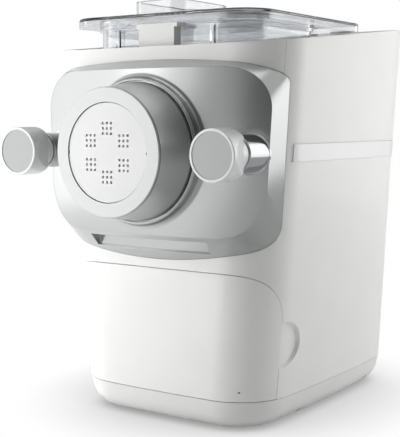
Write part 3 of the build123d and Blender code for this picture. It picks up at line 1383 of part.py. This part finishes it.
# ---------------------------------------------------------------- Gearbox and motor
def case_outline(y, margin):
    """Outline that wraps the three gear axes, margin millimetres outside the gears' tips."""
    circles = (
        (0, AXIS_Z, COARSE_MODULE * (OUTPUT_TEETH / 2 + ADDENDUM) + margin),
        (IDLER_X, IDLER_Z, FINE_MODULE * (WHEEL_TEETH / 2 + ADDENDUM) + margin),
        (0, MOTOR_Z, FINE_MODULE * (MOTOR_TEETH / 2 + ADDENDUM) + margin),
    )
    with BuildSketch(front_plane(y)) as wrapped:
        for x, z, radius in circles:
            with Locations((x, z)):
                Circle(radius)
        for first, second in ((0, 1), (1, 2), (0, 2)):
            x_a, z_a, r_a = circles[first]
            x_b, z_b, r_b = circles[second]
            line = atan2(z_b - z_a, x_b - x_a)
            swing = acos((r_a - r_b) / hypot(x_b - x_a, z_b - z_a))
            Polygon(
                (x_a + r_a * cos(line + swing), z_a + r_a * sin(line + swing)),
                (x_a + r_a * cos(line - swing), z_a + r_a * sin(line - swing)),
                (x_b + r_b * cos(line - swing), z_b + r_b * sin(line - swing)),
                (x_b + r_b * cos(line + swing), z_b + r_b * sin(line + swing)),
                align=None,
            )
    return wrapped.sketch


with BuildPart() as gearbox_cover:
    extrude(case_outline(CASE_FRONT_Y + CASE_WALL, CASE_MARGIN), amount=CASE_WALL, dir=(0, -1, 0))
    with BuildSketch(front_plane(CASE_FRONT_Y + CASE_WALL)):
        with Locations(*EAR_PLACES):
            Circle(EAR_R)
    extrude(amount=CASE_WALL)
    add(ring(BEARING_R, 0, CASE_FRONT_Y + 10, 20), mode=Mode.SUBTRACT)
    add(ring(IDLER_R, 0, CASE_FRONT_Y + 10, 20, IDLER_X, IDLER_Z), mode=Mode.SUBTRACT)
    with BuildSketch(front_plane(CASE_FRONT_Y + CASE_WALL)):
        with Locations(*EAR_PLACES):
            Circle(SCREW_R)
    extrude(amount=CASE_WALL, mode=Mode.SUBTRACT)
gearbox_cover.part.label = "gearbox_cover"
export_step(gearbox_cover.part, "parts/gearbox_cover.step")

EAR_REAR_Y = CASE_FRONT_Y + CASE_WALL + EAR_THICK

with BuildPart() as gearbox_case:
    extrude(case_outline(CASE_REAR_Y, CASE_MARGIN), amount=CASE_DEPTH - CASE_WALL, dir=(0, -1, 0))
    with BuildSketch(front_plane(EAR_REAR_Y)):
        with Locations(*EAR_PLACES):
            Circle(EAR_R)
    extrude(amount=EAR_THICK)
    inner_outline = case_outline(CASE_REAR_Y - CASE_WALL, CASE_MARGIN - CASE_WALL)
    extrude(inner_outline, amount=CASE_DEPTH - CASE_WALL, dir=(0, -1, 0), mode=Mode.SUBTRACT)
    add(ring(BEARING_R + CASE_WALL, 0, CASE_REAR_Y, BEARING_LENGTH))
    add(ring(BEARING_R, 0, CASE_REAR_Y + 1, BEARING_LENGTH + 2), mode=Mode.SUBTRACT)
    add(ring(IDLER_R, 0, CASE_REAR_Y + 1, 20, IDLER_X, IDLER_Z), mode=Mode.SUBTRACT)
    add(ring(MOTOR_COLLAR_R, 0, CASE_REAR_Y + 1, 20, 0, MOTOR_Z), mode=Mode.SUBTRACT)
    with BuildSketch(front_plane(EAR_REAR_Y)):
        with Locations(*EAR_PLACES):
            Circle(SCREW_R)
    extrude(amount=EAR_THICK, mode=Mode.SUBTRACT)
gearbox_case.part.label = "gearbox_case"
export_step(gearbox_case.part, "parts/gearbox_case.step")

with BuildPart() as gearbox_screws:
    with BuildSketch(front_plane(EAR_REAR_Y + SCREW_HEAD)):
        with Locations(*EAR_PLACES):
            Circle(SCREW_HEAD_R)
    extrude(amount=SCREW_HEAD)
    with BuildSketch(front_plane(EAR_REAR_Y)):
        with Locations(*EAR_PLACES):
            Circle(SCREW_R)
    extrude(amount=EAR_REAR_Y - BULKHEAD_Y)
gearbox_screws.part.label = "gearbox_screws"
export_step(gearbox_screws.part, "parts/gearbox_screws.step")

with BuildPart() as shaft_bearings:
    add(ring(BEARING_R, SHAFT_R + SHAFT_FIT, BULKHEAD_Y + BEARING_LENGTH, BEARING_LENGTH))
    add(ring(BEARING_R, SHAFT_R + SHAFT_FIT, CASE_REAR_Y, BEARING_LENGTH))
shaft_bearings.part.label = "shaft_bearings"
export_step(shaft_bearings.part, "parts/shaft_bearings.step")

with BuildPart() as idler_pin:
    add(ring(IDLER_R, 0, CASE_REAR_Y, CASE_DEPTH, IDLER_X, IDLER_Z))
idler_pin.part.label = "idler_pin"
export_step(idler_pin.part, "parts/idler_pin.step")

with BuildPart() as motor:
    add(ring(MOTOR_R, 0, CASE_REAR_Y + MOTOR_LENGTH, MOTOR_LENGTH - MOTOR_FLANGE, 0, MOTOR_Z))
    chamfer(motor.edges().group_by(Axis.Y)[-1], 4)
    with BuildSketch(front_plane(CASE_REAR_Y + MOTOR_FLANGE)):
        with Locations((0, MOTOR_Z)):
            RectangleRounded(2 * MOTOR_FLANGE_HALF, 2 * MOTOR_FLANGE_HALF, 10)
    extrude(amount=MOTOR_FLANGE)
    add(ring(MOTOR_COLLAR_R, 0, CASE_REAR_Y, CASE_WALL, 0, MOTOR_Z))
    bore_rear_y = CASE_REAR_Y + MOTOR_BORE_DEPTH
    add(ring(MOTOR_SHAFT_R + SHAFT_FIT, 0, bore_rear_y, 40, 0, MOTOR_Z), mode=Mode.SUBTRACT)
    with BuildSketch(front_plane(CASE_REAR_Y + MOTOR_LENGTH)):
        with Locations((0, MOTOR_Z)):
            with PolarLocations(MOTOR_R * 0.6, MOTOR_VENTS):
                SlotOverall(18, 4)
    extrude(amount=6, mode=Mode.SUBTRACT)
motor.part.label = "motor"
export_step(motor.part, "parts/motor.step")

# ---------------------------------------------------------------- Lid, inlet and interlock
LID_UNDER_Z = LID_TOP_Z - LID_PLATE
RIB_INSET = CHAMBER_WALL + LID_RIB_GAP

with BuildPart() as lid:
    add(plan_prism(LID_HALF, (LID_FRONT_Y, LID_REAR_Y), LID_FRONT_R, LID_REAR_R, (LID_LOW_Z, LID_TOP_Z)))
    fillet(lid.edges().group_by(Axis.Z)[-1], LID_EDGE_R)
    add(
        plan_prism(
            LID_HALF - LID_WALL,
            (LID_FRONT_Y + LID_WALL, LID_REAR_Y - LID_WALL),
            LID_FRONT_R - LID_WALL,
            LID_REAR_R - LID_WALL,
            (LID_LOW_Z - 1, LID_UNDER_Z),
        ),
        mode=Mode.SUBTRACT,
    )
    add(chamber_prism(CHAMBER_RIM, (LID_LOW_Z, LID_UNDER_Z + 0.5)))
    add(chamber_prism(-RIB_INSET, (LID_LOW_Z - LID_RIB_DROP, LID_LOW_Z + 1)))
    add(
        chamber_prism(-RIB_INSET - LID_RIB_WALL, (LID_LOW_Z - LID_RIB_DROP - 1, LID_UNDER_Z)),
        mode=Mode.SUBTRACT,
    )
    add(
        plan_prism(
            INLET_HALF,
            (INLET_FRONT_Y, INLET_REAR_Y),
            INLET_FRONT_R,
            INLET_REAR_R,
            (LID_UNDER_Z, INLET_TOP_Z),
        )
    )
    fillet(lid.edges().group_by(Axis.Z)[-1], INLET_WALL * 0.4)
    add(
        plan_prism(
            INLET_HALF - INLET_WALL,
            (INLET_FRONT_Y + INLET_WALL, INLET_REAR_Y - INLET_WALL),
            INLET_FRONT_R - INLET_WALL,
            INLET_REAR_R - INLET_WALL,
            (LID_TOP_Z, INLET_TOP_Z + 1),
        ),
        mode=Mode.SUBTRACT,
    )
    with BuildSketch(Plane.XY.offset(LID_UNDER_Z - 1)):
        with Locations((0, SLIT_Y)):
            with GridLocations(SLIT_PITCH, 1, SLIT_COUNT, 1):
                SlotOverall(SLIT_LENGTH, SLIT_WIDTH, rotation=90)
    extrude(amount=LID_PLATE + 2, mode=Mode.SUBTRACT)
lid.part.label = "lid"
export_step(lid.part, "parts/lid.step")

LOCK_TOP_Z = LID_LOW_Z - LOCK_GAP

with BuildPart() as lid_interlock:
    add(
        box_between(
            (-LOCK_BOX_HALF, LOCK_BOX_HALF),
            (LOCK_FRONT_Y, LOCK_REAR_Y),
            (FACE_TOP_Z, LOCK_TOP_Z),
        )
    )
    split(bisect_by=slope_plane(FRAME_DROP), keep=Keep.TOP)
    add(
        box_between(
            (-LOCK_BAR_HALF, LOCK_BAR_HALF),
            (LOCK_FRONT_Y, LOCK_REAR_Y),
            (LOCK_TOP_Z - LOCK_BAR_THICK, LOCK_TOP_Z),
        )
    )
    add(
        box_between(
            (-LOCK_BOX_HALF + LOCK_WALL, LOCK_BOX_HALF - LOCK_WALL),
            (LOCK_FRONT_Y + LOCK_WALL, LOCK_REAR_Y - LOCK_WALL),
            (FACE_TOP_Z, LOCK_TOP_Z - LOCK_BAR_THICK - LOCK_WALL),
        ),
        mode=Mode.SUBTRACT,
    )
lid_interlock.part.label = "lid_interlock"
export_step(lid_interlock.part, "parts/lid_interlock.step")

with BuildPart() as lid_switch:
    switch_y = (LOCK_FRONT_Y + LOCK_REAR_Y) / 2
    add(
        box_between(
            (-SWITCH_HALF, SWITCH_HALF),
            (switch_y - SWITCH_DEPTH / 2, switch_y + SWITCH_DEPTH / 2),
            (SWITCH_LOW_Z, SWITCH_LOW_Z + SWITCH_HEIGHT),
        )
    )
    with BuildSketch(Plane.XY.offset(SWITCH_LOW_Z + SWITCH_HEIGHT)):
        with Locations((SWITCH_HALF / 2, switch_y)):
            Circle(1.2)
    extrude(amount=1.5)
lid_switch.part.label = "lid_switch"
export_step(lid_switch.part, "parts/lid_switch.step")

# ---------------------------------------------------------------- Drawer
with BuildPart() as drawer_front:
    add(outer_block)
    add(inner_block, mode=Mode.SUBTRACT)
    add(
        plan_prism(
            TRAY_HALF + TRAY_SEAT_GAP,
            (TRAY_FRONT_Y - TRAY_SEAT_GAP, TRAY_REAR_Y),
            TRAY_CORNER_R + TRAY_SEAT_GAP,
            TRAY_CORNER_R,
            (TRAY_LOW_Z - TRAY_SEAT_GAP, TRAY_TOP_Z),
        ),
        mode=Mode.SUBTRACT,
    )
    add(door_prism(DRAWER_SEAM), mode=Mode.INTERSECT)
    add(box_between((-BIG, BIG), (-BIG, BIG), (SEAM_Z + SEAM_GAP, BIG)), mode=Mode.INTERSECT)
    add(
        box_between(
            (-DOOR_PAD_HALF, DOOR_PAD_HALF),
            (-BIG / 2, TRAY_FRONT_Y),
            (DOOR_PAD_LOW, DOOR_PAD_HIGH),
        ).intersect(body_block(SEAM_Z, DOOR_TOP_Z, WALL / 2))
    )
drawer_front.part.label = "drawer_front"
export_step(drawer_front.part, "parts/drawer_front.step")

with BuildPart() as drawer_tray:
    add(
        plan_prism(
            TRAY_HALF,
            (TRAY_FRONT_Y, TRAY_REAR_Y),
            TRAY_CORNER_R,
            TRAY_CORNER_R,
            (TRAY_LOW_Z, TRAY_TOP_Z),
        )
    )
    fillet(drawer_tray.edges().group_by(Axis.Z)[0], 4)
    add(
        plan_prism(
            TRAY_HALF - TRAY_WALL,
            (TRAY_FRONT_Y + TRAY_WALL, TRAY_REAR_Y - TRAY_WALL),
            TRAY_CORNER_R - TRAY_WALL,
            TRAY_CORNER_R - TRAY_WALL,
            (TRAY_LOW_Z + TRAY_WALL, TRAY_TOP_Z + 1),
        ),
        mode=Mode.SUBTRACT,
    )
drawer_tray.part.label = "drawer_tray"
export_step(drawer_tray.part, "parts/drawer_tray.step")

# ---------------------------------------------------------------- Mains inlet and power board
with BuildPart() as cord_inlet:
    add(ring(GROMMET_FLANGE_R, 0, INLET_FRONT_SIDE_Y + GROMMET_LENGTH, GROMMET_LENGTH, INLET_X, INLET_Z))
    add(skin.part, mode=Mode.SUBTRACT)
    add(ring(GROMMET_R, 0, INLET_FRONT_SIDE_Y + GROMMET_LENGTH, GROMMET_LENGTH, INLET_X, INLET_Z))
    add(ring(GROMMET_BORE_R, 0, BIG / 2, BIG / 4, INLET_X, INLET_Z), mode=Mode.SUBTRACT)
cord_inlet.part.label = "cord_inlet"
export_step(cord_inlet.part, "parts/cord_inlet.step")

with BuildPart() as power_board:
    board_low_z = BASE_FLOOR_Z + 6
    board_top_z = board_low_z + BOARD_THICK
    add(box_between((-70, 20), (62, 140), (board_low_z, board_top_z)))
    with BuildSketch(Plane.XY.offset(BASE_FLOOR_Z)):
        with Locations((-25, 101)):
            with GridLocations(78, 66, 2, 2):
                Circle(3)
    extrude(amount=board_low_z - BASE_FLOOR_Z)
    for x, y, size_x, size_y, height in (
        (-48, 84, 26, 30, 22),
        (-8, 80, 18, 18, 16),
        (-50, 122, 16, 20, 18),
        (-4, 118, 24, 26, 14),
    ):
        add(
            box_between(
                (x - size_x / 2, x + size_x / 2),
                (y - size_y / 2, y + size_y / 2),
                (board_top_z - 0.2, board_top_z + height),
            )
        )
power_board.part.label = "power_board"
export_step(power_board.part, "parts/power_board.step")
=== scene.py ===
"""Looks of the electric pasta maker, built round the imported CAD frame. Units are metres."""

import json
import math

import bmesh
import bpy
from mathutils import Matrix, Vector

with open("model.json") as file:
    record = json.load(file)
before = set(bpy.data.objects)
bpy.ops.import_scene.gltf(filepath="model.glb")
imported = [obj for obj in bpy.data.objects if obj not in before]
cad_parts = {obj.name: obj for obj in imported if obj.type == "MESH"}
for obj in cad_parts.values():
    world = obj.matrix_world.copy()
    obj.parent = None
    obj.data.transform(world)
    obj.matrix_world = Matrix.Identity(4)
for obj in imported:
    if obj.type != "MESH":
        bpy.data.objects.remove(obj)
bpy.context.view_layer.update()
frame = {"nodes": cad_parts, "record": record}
nodes = frame["nodes"]

# ---------------------------------------------------------------- Camera
CAMERA_PLACE = (0.51279, -0.78586, 0.25677)
CAMERA_TURN = 34.39           # degrees about the upright axis
CAMERA_DIP = 5.5              # degrees below level
CAMERA_LENS = 84.55           # millimetres
SENSOR_WIDTH = 36.0           # millimetres
CAMERA_REACH = 50.0

# ---------------------------------------------------------------- Room
WHITE = (1, 1, 1, 1)
ROOM_LIGHT = 0.09             # level of the room in front of the machine
ROOM_RISES = (                # direction, cosines where the rise starts and ends, level it adds
    ((-1, -0.25, 0.1), 0.35, 0.95, 0.70),
    ((0.25, 1, 0), 0.1, 0.8, 0.50),
    ((0, 0.2, 1), 0.45, 0.95, 0.35),
)

# ---------------------------------------------------------------- Lights
BOTH = (True, True)           # lights surfaces and shows as a highlight
SURFACES = (False, True)      # lights surfaces only
HIGHLIGHT = (True, False)     # shows as a highlight only
LIGHTS = (                    # name, place, point it faces, size, power in watts, what it does
    ("key_left", (-0.50, -0.44, 0.22), (-0.04, -0.12, 0.12), (0.6, 0.6), 4.6, SURFACES),
    ("left_panel", (-0.72, -0.58, 0.26), (0.0, -0.10, 0.20), (0.9, 0.9), 1.9, HIGHLIGHT),
    ("front_left_panel", (-0.42, -0.80, 0.60), (0.0, -0.10, 0.25), (0.44, 0.40), 0.42, HIGHLIGHT),
    ("front_panel", (-0.14, -1.02, 0.48), (0.04, -0.10, 0.25), (0.34, 0.50), 0.20, HIGHLIGHT),
    ("right_side", (0.50, 0.52, 0.34), (0.12, 0.12, 0.20), (0.6, 0.7), 2.9, SURFACES),
    ("right_panel", (0.62, 0.70, 0.40), (0.12, -0.10, 0.24), (0.6, 0.7), 1.4, HIGHLIGHT),
    ("top", (0.0, 0.2, 1.4), (0, 0, 0.2), (1.0, 1.0), 2.4, BOTH),
)

# ---------------------------------------------------------------- Floor
FLOOR_REACH = 12.0            # from its middle to each edge
FLOOR_COLOUR = (0.88, 0.88, 0.88, 1)
FLOOR_ROUGHNESS = 0.9
# The floor's shadow is painted: its glow follows ambient occlusion, not the lamps.
FLOOR_NEAR = 0.30             # brightness of the painted shadow right under the machine
FLOOR_OPEN = 0.88             # openness of the surroundings from which the floor is fully bright
SHADOW_REACH = 0.13
FLOOR_SHEEN = (1.1, 0.45)     # painted reflection: brightness that the machine mirrors, at its left and right
SHEEN_EDGE = (-0.18, 0.10)    # along X, where the first starts to give way and where it has

# ---------------------------------------------------------------- Surfaces
EVEN = (1, 1, 1)              # noise that isn't stretched
LEVEL_BRUSH = (1, 1, 30)      # far finer up and down, which leaves level streaks
NOISE_SPAN = (0.3, 0.7)       # part of the noise's values that is used
TONE_DETAIL = 3.0
NOISE_DETAIL = 2.0

PLASTIC_TONE_SCALE = 22
PLASTIC_GLOSS_SCALE = 60
PLASTIC_GLOSS = (0.88, 1.12)  # shares of the roughness between which it drifts
PLASTIC_SKIN = 0.0002         # depth of the relief
COAT_ROUGHNESS = 0.08

METAL_TONE_SHARE = 0.6        # of the grain's scale
METAL_GLOSS_SHARE = 0.4
METAL_GLOSS = (0.95, 1.05)
METAL_SKIN = 0.0001

CLEAR_TONE_DRIFT = 0.02
CLEAR_TONE_SCALE = 30
CLEAR_GLOSS_SCALE = 80
CLEAR_GLOSS = (0.8, 1.3)
CLEAR_GRAIN = 300
CLEAR_RELIEF = 0.02
CLEAR_SKIN = 0.0001
CLEAR_IOR = 1.46

PANEL_MIDDLE = 0.235          # height at which the bezel stands upright
PANEL_CURVE = 1.1             # curvature of the bezel above and below that, per metre
EDGE_ROUND = 0.0012           # soft edge between the bezel's face and its slopes
EDGE_SAMPLES = 6


# ---------------------------------------------------------------- Nodes
def feed(tree, socket, value):
    """Links an output to a node's input, or sets the input to a number."""
    if isinstance(value, bpy.types.NodeSocket):
        tree.links.new(value, socket)
    else:
        socket.default_value = value


def calculate(tree, operation, first, second):
    """Output of a math node on two numbers or outputs."""
    node = tree.nodes.new("ShaderNodeMath")
    node.operation = operation
    feed(tree, node.inputs[0], first)
    feed(tree, node.inputs[1], second)
    return node.outputs[0]


def spread(tree, value, source, target, smooth=False):
    """Output that follows a value from one range to another and stops at the ends."""
    node = tree.nodes.new("ShaderNodeMapRange")
    if smooth:
        node.interpolation_type = "SMOOTHSTEP"
    feed(tree, node.inputs["Value"], value)
    for name, end in zip(("From Min", "From Max", "To Min", "To Max"), (*source, *target)):
        feed(tree, node.inputs[name], end)
    return node.outputs["Result"]


def mix_shaders(tree, share, first, second):
    """Shader that goes from the first to the second as the share goes from 0 to 1."""
    node = tree.nodes.new("ShaderNodeMixShader")
    feed(tree, node.inputs["Fac"], share)
    feed(tree, node.inputs[1], first)
    feed(tree, node.inputs[2], second)
    return node.outputs["Shader"]


def ray_is(tree, *kinds):
    """Output that is 1 for the named kinds of ray."""
    path = tree.nodes.new("ShaderNodeLightPath")
    total = path.outputs[kinds[0]]
    for kind in kinds[1:]:
        total = calculate(tree, "MAXIMUM", total, path.outputs[kind])
    return total


def along(tree, axis):
    """One of the object's own coordinates."""
    coords = tree.nodes.new("ShaderNodeTexCoord")
    split = tree.nodes.new("ShaderNodeSeparateXYZ")
    tree.links.new(coords.outputs["Object"], split.inputs["Vector"])
    return split.outputs[axis]


def noise(tree, scale, detail=NOISE_DETAIL, stretch=EVEN):
    """Noise in the object's own coordinates, optionally stretched."""
    coords = tree.nodes.new("ShaderNodeTexCoord")
    mapping = tree.nodes.new("ShaderNodeMapping")
    mapping.inputs["Scale"].default_value = stretch
    texture = tree.nodes.new("ShaderNodeTexNoise")
    texture.inputs["Scale"].default_value = scale
    texture.inputs["Detail"].default_value = detail
    tree.links.new(coords.outputs["Object"], mapping.inputs["Vector"])
    tree.links.new(mapping.outputs["Vector"], texture.inputs["Vector"])
    return texture.outputs["Fac"]


# ---------------------------------------------------------------- Camera, room and floor
def add_camera():
    """Camera at the photograph's place, looking slightly down."""
    data = bpy.data.cameras.new("camera")
    data.lens = CAMERA_LENS
    data.sensor_width = SENSOR_WIDTH
    data.clip_end = CAMERA_REACH
    camera = bpy.data.objects.new("camera", data)
    camera.location = CAMERA_PLACE
    camera.rotation_euler = (math.radians(90 - CAMERA_DIP), 0, math.radians(CAMERA_TURN))
    bpy.context.scene.collection.objects.link(camera)
    bpy.context.scene.camera = camera


def add_light(name, place, target, size, power, effect):
    """Large soft light facing a point."""
    data = bpy.data.lights.new(name, "AREA")
    data.shape = "RECTANGLE"
    data.size, data.size_y = size
    data.energy = power
    light = bpy.data.objects.new(name, data)
    light.location = place
    aim = Vector(target) - Vector(place)
    light.rotation_euler = aim.to_track_quat("-Z", "Y").to_euler()
    light.visible_glossy, light.visible_diffuse = effect
    bpy.context.scene.collection.objects.link(light)


def towards(tree, direction, start, end, level):
    """Light that rises smoothly from start to end of the cosine to a direction."""
    coords = tree.nodes.new("ShaderNodeTexCoord")
    dot = tree.nodes.new("ShaderNodeVectorMath")
    dot.operation = "DOT_PRODUCT"
    dot.inputs[1].default_value = Vector(direction).normalized()
    tree.links.new(coords.outputs["Generated"], dot.inputs[0])
    return spread(tree, dot.outputs["Value"], (start, end), (0.0, level), smooth=True)


def add_room():
    """White background for the camera, and a softly graded studio for everything else."""
    world = bpy.data.worlds.new("room")
    bpy.context.scene.world = world
    world.use_nodes = True
    tree = world.node_tree
    tree.nodes.clear()
    level = ROOM_LIGHT
    for rise in ROOM_RISES:
        level = calculate(tree, "ADD", level, towards(tree, *rise))
    backgrounds = []
    for strength in (level, 1.0):
        node = tree.nodes.new("ShaderNodeBackground")
        node.inputs["Color"].default_value = WHITE
        feed(tree, node.inputs["Strength"], strength)
        backgrounds.append(node.outputs["Background"])
    seen = ray_is(tree, "Is Camera Ray", "Is Transmission Ray")
    output = tree.nodes.new("ShaderNodeOutputWorld")
    tree.links.new(mix_shaders(tree, seen, *backgrounds), output.inputs["Surface"])


def add_floor():
    """White floor whose glow carries a painted soft shadow under and beside the machine, and a
    painted reflection for the machine's metal to mirror.
    """
    mesh = bpy.data.meshes.new("floor")
    built = bmesh.new()
    bmesh.ops.create_grid(built, x_segments=2, y_segments=2, size=FLOOR_REACH)
    built.to_mesh(mesh)
    built.free()
    floor = bpy.data.objects.new("floor", mesh)
    bpy.context.scene.collection.objects.link(floor)
    material, tree, shader = blank_material("floor_paper")
    shader.inputs["Base Color"].default_value = FLOOR_COLOUR
    shader.inputs["Roughness"].default_value = FLOOR_ROUGHNESS
    # Painted shadow: ambient occlusion darkens the floor's glow near the machine.
    shadow = tree.nodes.new("ShaderNodeAmbientOcclusion")
    shadow.inputs["Distance"].default_value = SHADOW_REACH
    bright = spread(tree, shadow.outputs["AO"], (0.0, FLOOR_OPEN), (FLOOR_NEAR, 1.0))
    # Painted reflection: for glossy rays the floor glows brighter at the left and dimmer at the
    # right, so the metal mirrors painted brightness.
    painted_reflection = spread(tree, along(tree, "X"), SHEEN_EDGE, FLOOR_SHEEN, smooth=True)
    mirrored = spread(tree, ray_is(tree, "Is Glossy Ray"), (0.0, 1.0), (1.0, painted_reflection))
    # The floor glows for camera, glossy and transmission rays instead of being lit; the painted
    # shadow times the painted reflection level sets how brightly.
    glow = tree.nodes.new("ShaderNodeEmission")
    feed(tree, glow.inputs["Strength"], calculate(tree, "MULTIPLY", bright, mirrored))
    seen = ray_is(tree, "Is Camera Ray", "Is Glossy Ray", "Is Transmission Ray")
    surface = mix_shaders(tree, seen, shader.outputs["BSDF"], glow.outputs["Emission"])
    tree.links.new(surface, tree.nodes["Material Output"].inputs["Surface"])
    mesh.materials.append(material)


# ---------------------------------------------------------------- Materials
def blank_material(name):
    """New node material: returns it, its node tree and its shader."""
    material = bpy.data.materials.new(name)
    material.use_nodes = True
    tree = material.node_tree
    return material, tree, tree.nodes["Principled BSDF"]


def vary_colour(tree, shader, colour, amount, scale, stretch=EVEN):
    """Base colour that drifts by amount between a darker and a lighter tone."""
    mix = tree.nodes.new("ShaderNodeMix")
    mix.data_type = "RGBA"
    dark = [c * (1 - amount) for c in colour]
    light = [min(1.0, c * (1 + amount)) for c in colour]
    mix.inputs[6].default_value = (*dark, 1)
    mix.inputs[7].default_value = (*light, 1)
    texture = noise(tree, scale, TONE_DETAIL, stretch)
    feed(tree, mix.inputs["Factor"], spread(tree, texture, NOISE_SPAN, (0, 1)))
    tree.links.new(mix.outputs[2], shader.inputs["Base Color"])


def vary_gloss(tree, shader, roughness, shares, scale, stretch=EVEN):
    """Roughness that drifts between two shares of its value."""
    texture = noise(tree, scale, stretch=stretch)
    ends = [roughness * share for share in shares]
    feed(tree, shader.inputs["Roughness"], spread(tree, texture, NOISE_SPAN, ends))


def add_bump(tree, shader, scale, strength, depth, stretch=EVEN):
    """Fine surface relief."""
    bump = tree.nodes.new("ShaderNodeBump")
    bump.inputs["Strength"].default_value = strength
    bump.inputs["Distance"].default_value = depth
    tree.links.new(noise(tree, scale, stretch=stretch), bump.inputs["Height"])
    tree.links.new(bump.outputs["Normal"], shader.inputs["Normal"])


def plastic(name, colour, roughness, drift=0.015, grain=1400, relief=0.05, coat=0.0):
    """Moulded plastic with a faint drift of tone and gloss and a fine moulded skin."""
    material, tree, shader = blank_material(name)
    vary_colour(tree, shader, colour, drift, PLASTIC_TONE_SCALE)
    vary_gloss(tree, shader, roughness, PLASTIC_GLOSS, PLASTIC_GLOSS_SCALE)
    add_bump(tree, shader, grain, relief, PLASTIC_SKIN)
    shader.inputs["Coat Weight"].default_value = coat
    shader.inputs["Coat Roughness"].default_value = COAT_ROUGHNESS
    return material


def metal(
    name, colour, roughness, metallic=1.0, drift=0.012, grain=2500, relief=0.002, stretch=EVEN
):
    """Metal or metal paint: fine flake or brush grain in colour, gloss and relief."""
    material, tree, shader = blank_material(name)
    vary_colour(tree, shader, colour, drift, grain * METAL_TONE_SHARE, stretch)
    vary_gloss(tree, shader, roughness, METAL_GLOSS, grain * METAL_GLOSS_SHARE, stretch)
    shader.inputs["Metallic"].default_value = metallic
    add_bump(tree, shader, grain, relief, METAL_SKIN, stretch)
    return material


def clear(name, colour, roughness=0.03):
    """Clear moulded plastic: refracts what is behind it and mirrors the studio at its edges."""
    material, tree, shader = blank_material(name)
    vary_colour(tree, shader, colour, CLEAR_TONE_DRIFT, CLEAR_TONE_SCALE)
    vary_gloss(tree, shader, roughness, CLEAR_GLOSS, CLEAR_GLOSS_SCALE)
    shader.inputs["Transmission Weight"].default_value = 1.0
    shader.inputs["IOR"].default_value = CLEAR_IOR
    add_bump(tree, shader, CLEAR_GRAIN, CLEAR_RELIEF, CLEAR_SKIN)
    return material


def crowned(material):
    """Shades the panel's paint as if it fell away above and below its middle, with soft edges."""
    tree = material.node_tree
    offset = calculate(tree, "SUBTRACT", along(tree, "Z"), PANEL_MIDDLE)
    square = calculate(tree, "MULTIPLY", offset, offset)
    bump = tree.nodes.new("ShaderNodeBump")
    bump.inputs["Distance"].default_value = 1.0
    feed(tree, bump.inputs["Height"], calculate(tree, "MULTIPLY", square, -PANEL_CURVE))
    edge = tree.nodes.new("ShaderNodeBevel")
    edge.samples = EDGE_SAMPLES
    edge.inputs["Radius"].default_value = EDGE_ROUND
    grain = tree.nodes["Principled BSDF"].inputs["Normal"].links[0].from_node
    tree.links.new(edge.outputs["Normal"], bump.inputs["Normal"])
    tree.links.new(bump.outputs["Normal"], grain.inputs["Normal"])
    return material


MATERIALS = {
    "body_white": plastic("white_gloss", (0.83, 0.83, 0.82), 0.34, coat=0.2),
    "drawer_white": plastic("drawer_gloss", (0.85, 0.85, 0.84), 0.32, coat=0.25),
    "base_white": plastic("base_gloss", (0.80, 0.80, 0.79), 0.36, coat=0.15),
    "silver_panel": crowned(metal("silver_paint", (0.54, 0.55, 0.55), 0.23, 0.94, grain=1500)),
    "silver_trim": metal("trim_paint", (0.80, 0.80, 0.80), 0.30, 0.25),
    "nut_silver": metal("nut_paint", (0.58, 0.59, 0.59), 0.34, 0.85),
    "disc_white": plastic("disc_satin", (0.82, 0.82, 0.82), 0.45),
    "knob_silver": metal("knob_paint", (0.76, 0.77, 0.77), 0.32, 0.25),
    "knob_face": metal("knob_plate", (0.40, 0.41, 0.41), 0.36, 0.7, stretch=LEVEL_BRUSH),
    "chrome_collar": metal("polished_collar", (0.58, 0.59, 0.60), 0.16, 1.0),
    "clear_plastic": clear("clear_chamber", (0.78, 0.79, 0.80)),
    "lid_clear": clear("clear_lid", (0.70, 0.71, 0.72)),
    "white_plastic": plastic("white_satin", (0.80, 0.80, 0.79), 0.42),
    "inner_grey": plastic("inner_grey", (0.36, 0.37, 0.37), 0.5),
    "black_glass": plastic("smoked_window", (0.02, 0.02, 0.022), 0.10, coat=0.6),
    "button_grey": plastic("button_grey", (0.14, 0.145, 0.15), 0.42),
    "rubber_black": plastic("foot_rubber", (0.03, 0.03, 0.03), 0.75, relief=0.12),
    "seal_rubber": plastic("seal_rubber", (0.16, 0.16, 0.165), 0.65, relief=0.1),
    "steel": metal("zinc_steel", (0.56, 0.56, 0.57), 0.3),
    "gear_plastic": plastic("acetal", (0.74, 0.73, 0.68), 0.4),
    "motor_metal": metal("motor_paint", (0.22, 0.225, 0.23), 0.45, 0.4),
    "bronze": metal("bronze", (0.52, 0.38, 0.2), 0.35),
    "board_green": plastic("board_green", (0.02, 0.11, 0.055), 0.4),
}


def dress_cad_nodes():
    """Gives each CAD node the material of its slot."""
    slots = {entry["node"]: entry["material_slot"] for entry in frame["record"]["subparts"]}
    for name, node in nodes.items():
        node.data.materials.clear()
        node.data.materials.append(MATERIALS[slots[name]])


# ---------------------------------------------------------------- The scene
bpy.context.scene.view_settings.view_transform = "Standard"
add_camera()
add_room()
add_floor()
for light_row in LIGHTS:
    add_light(*light_row)
dress_cad_nodes()
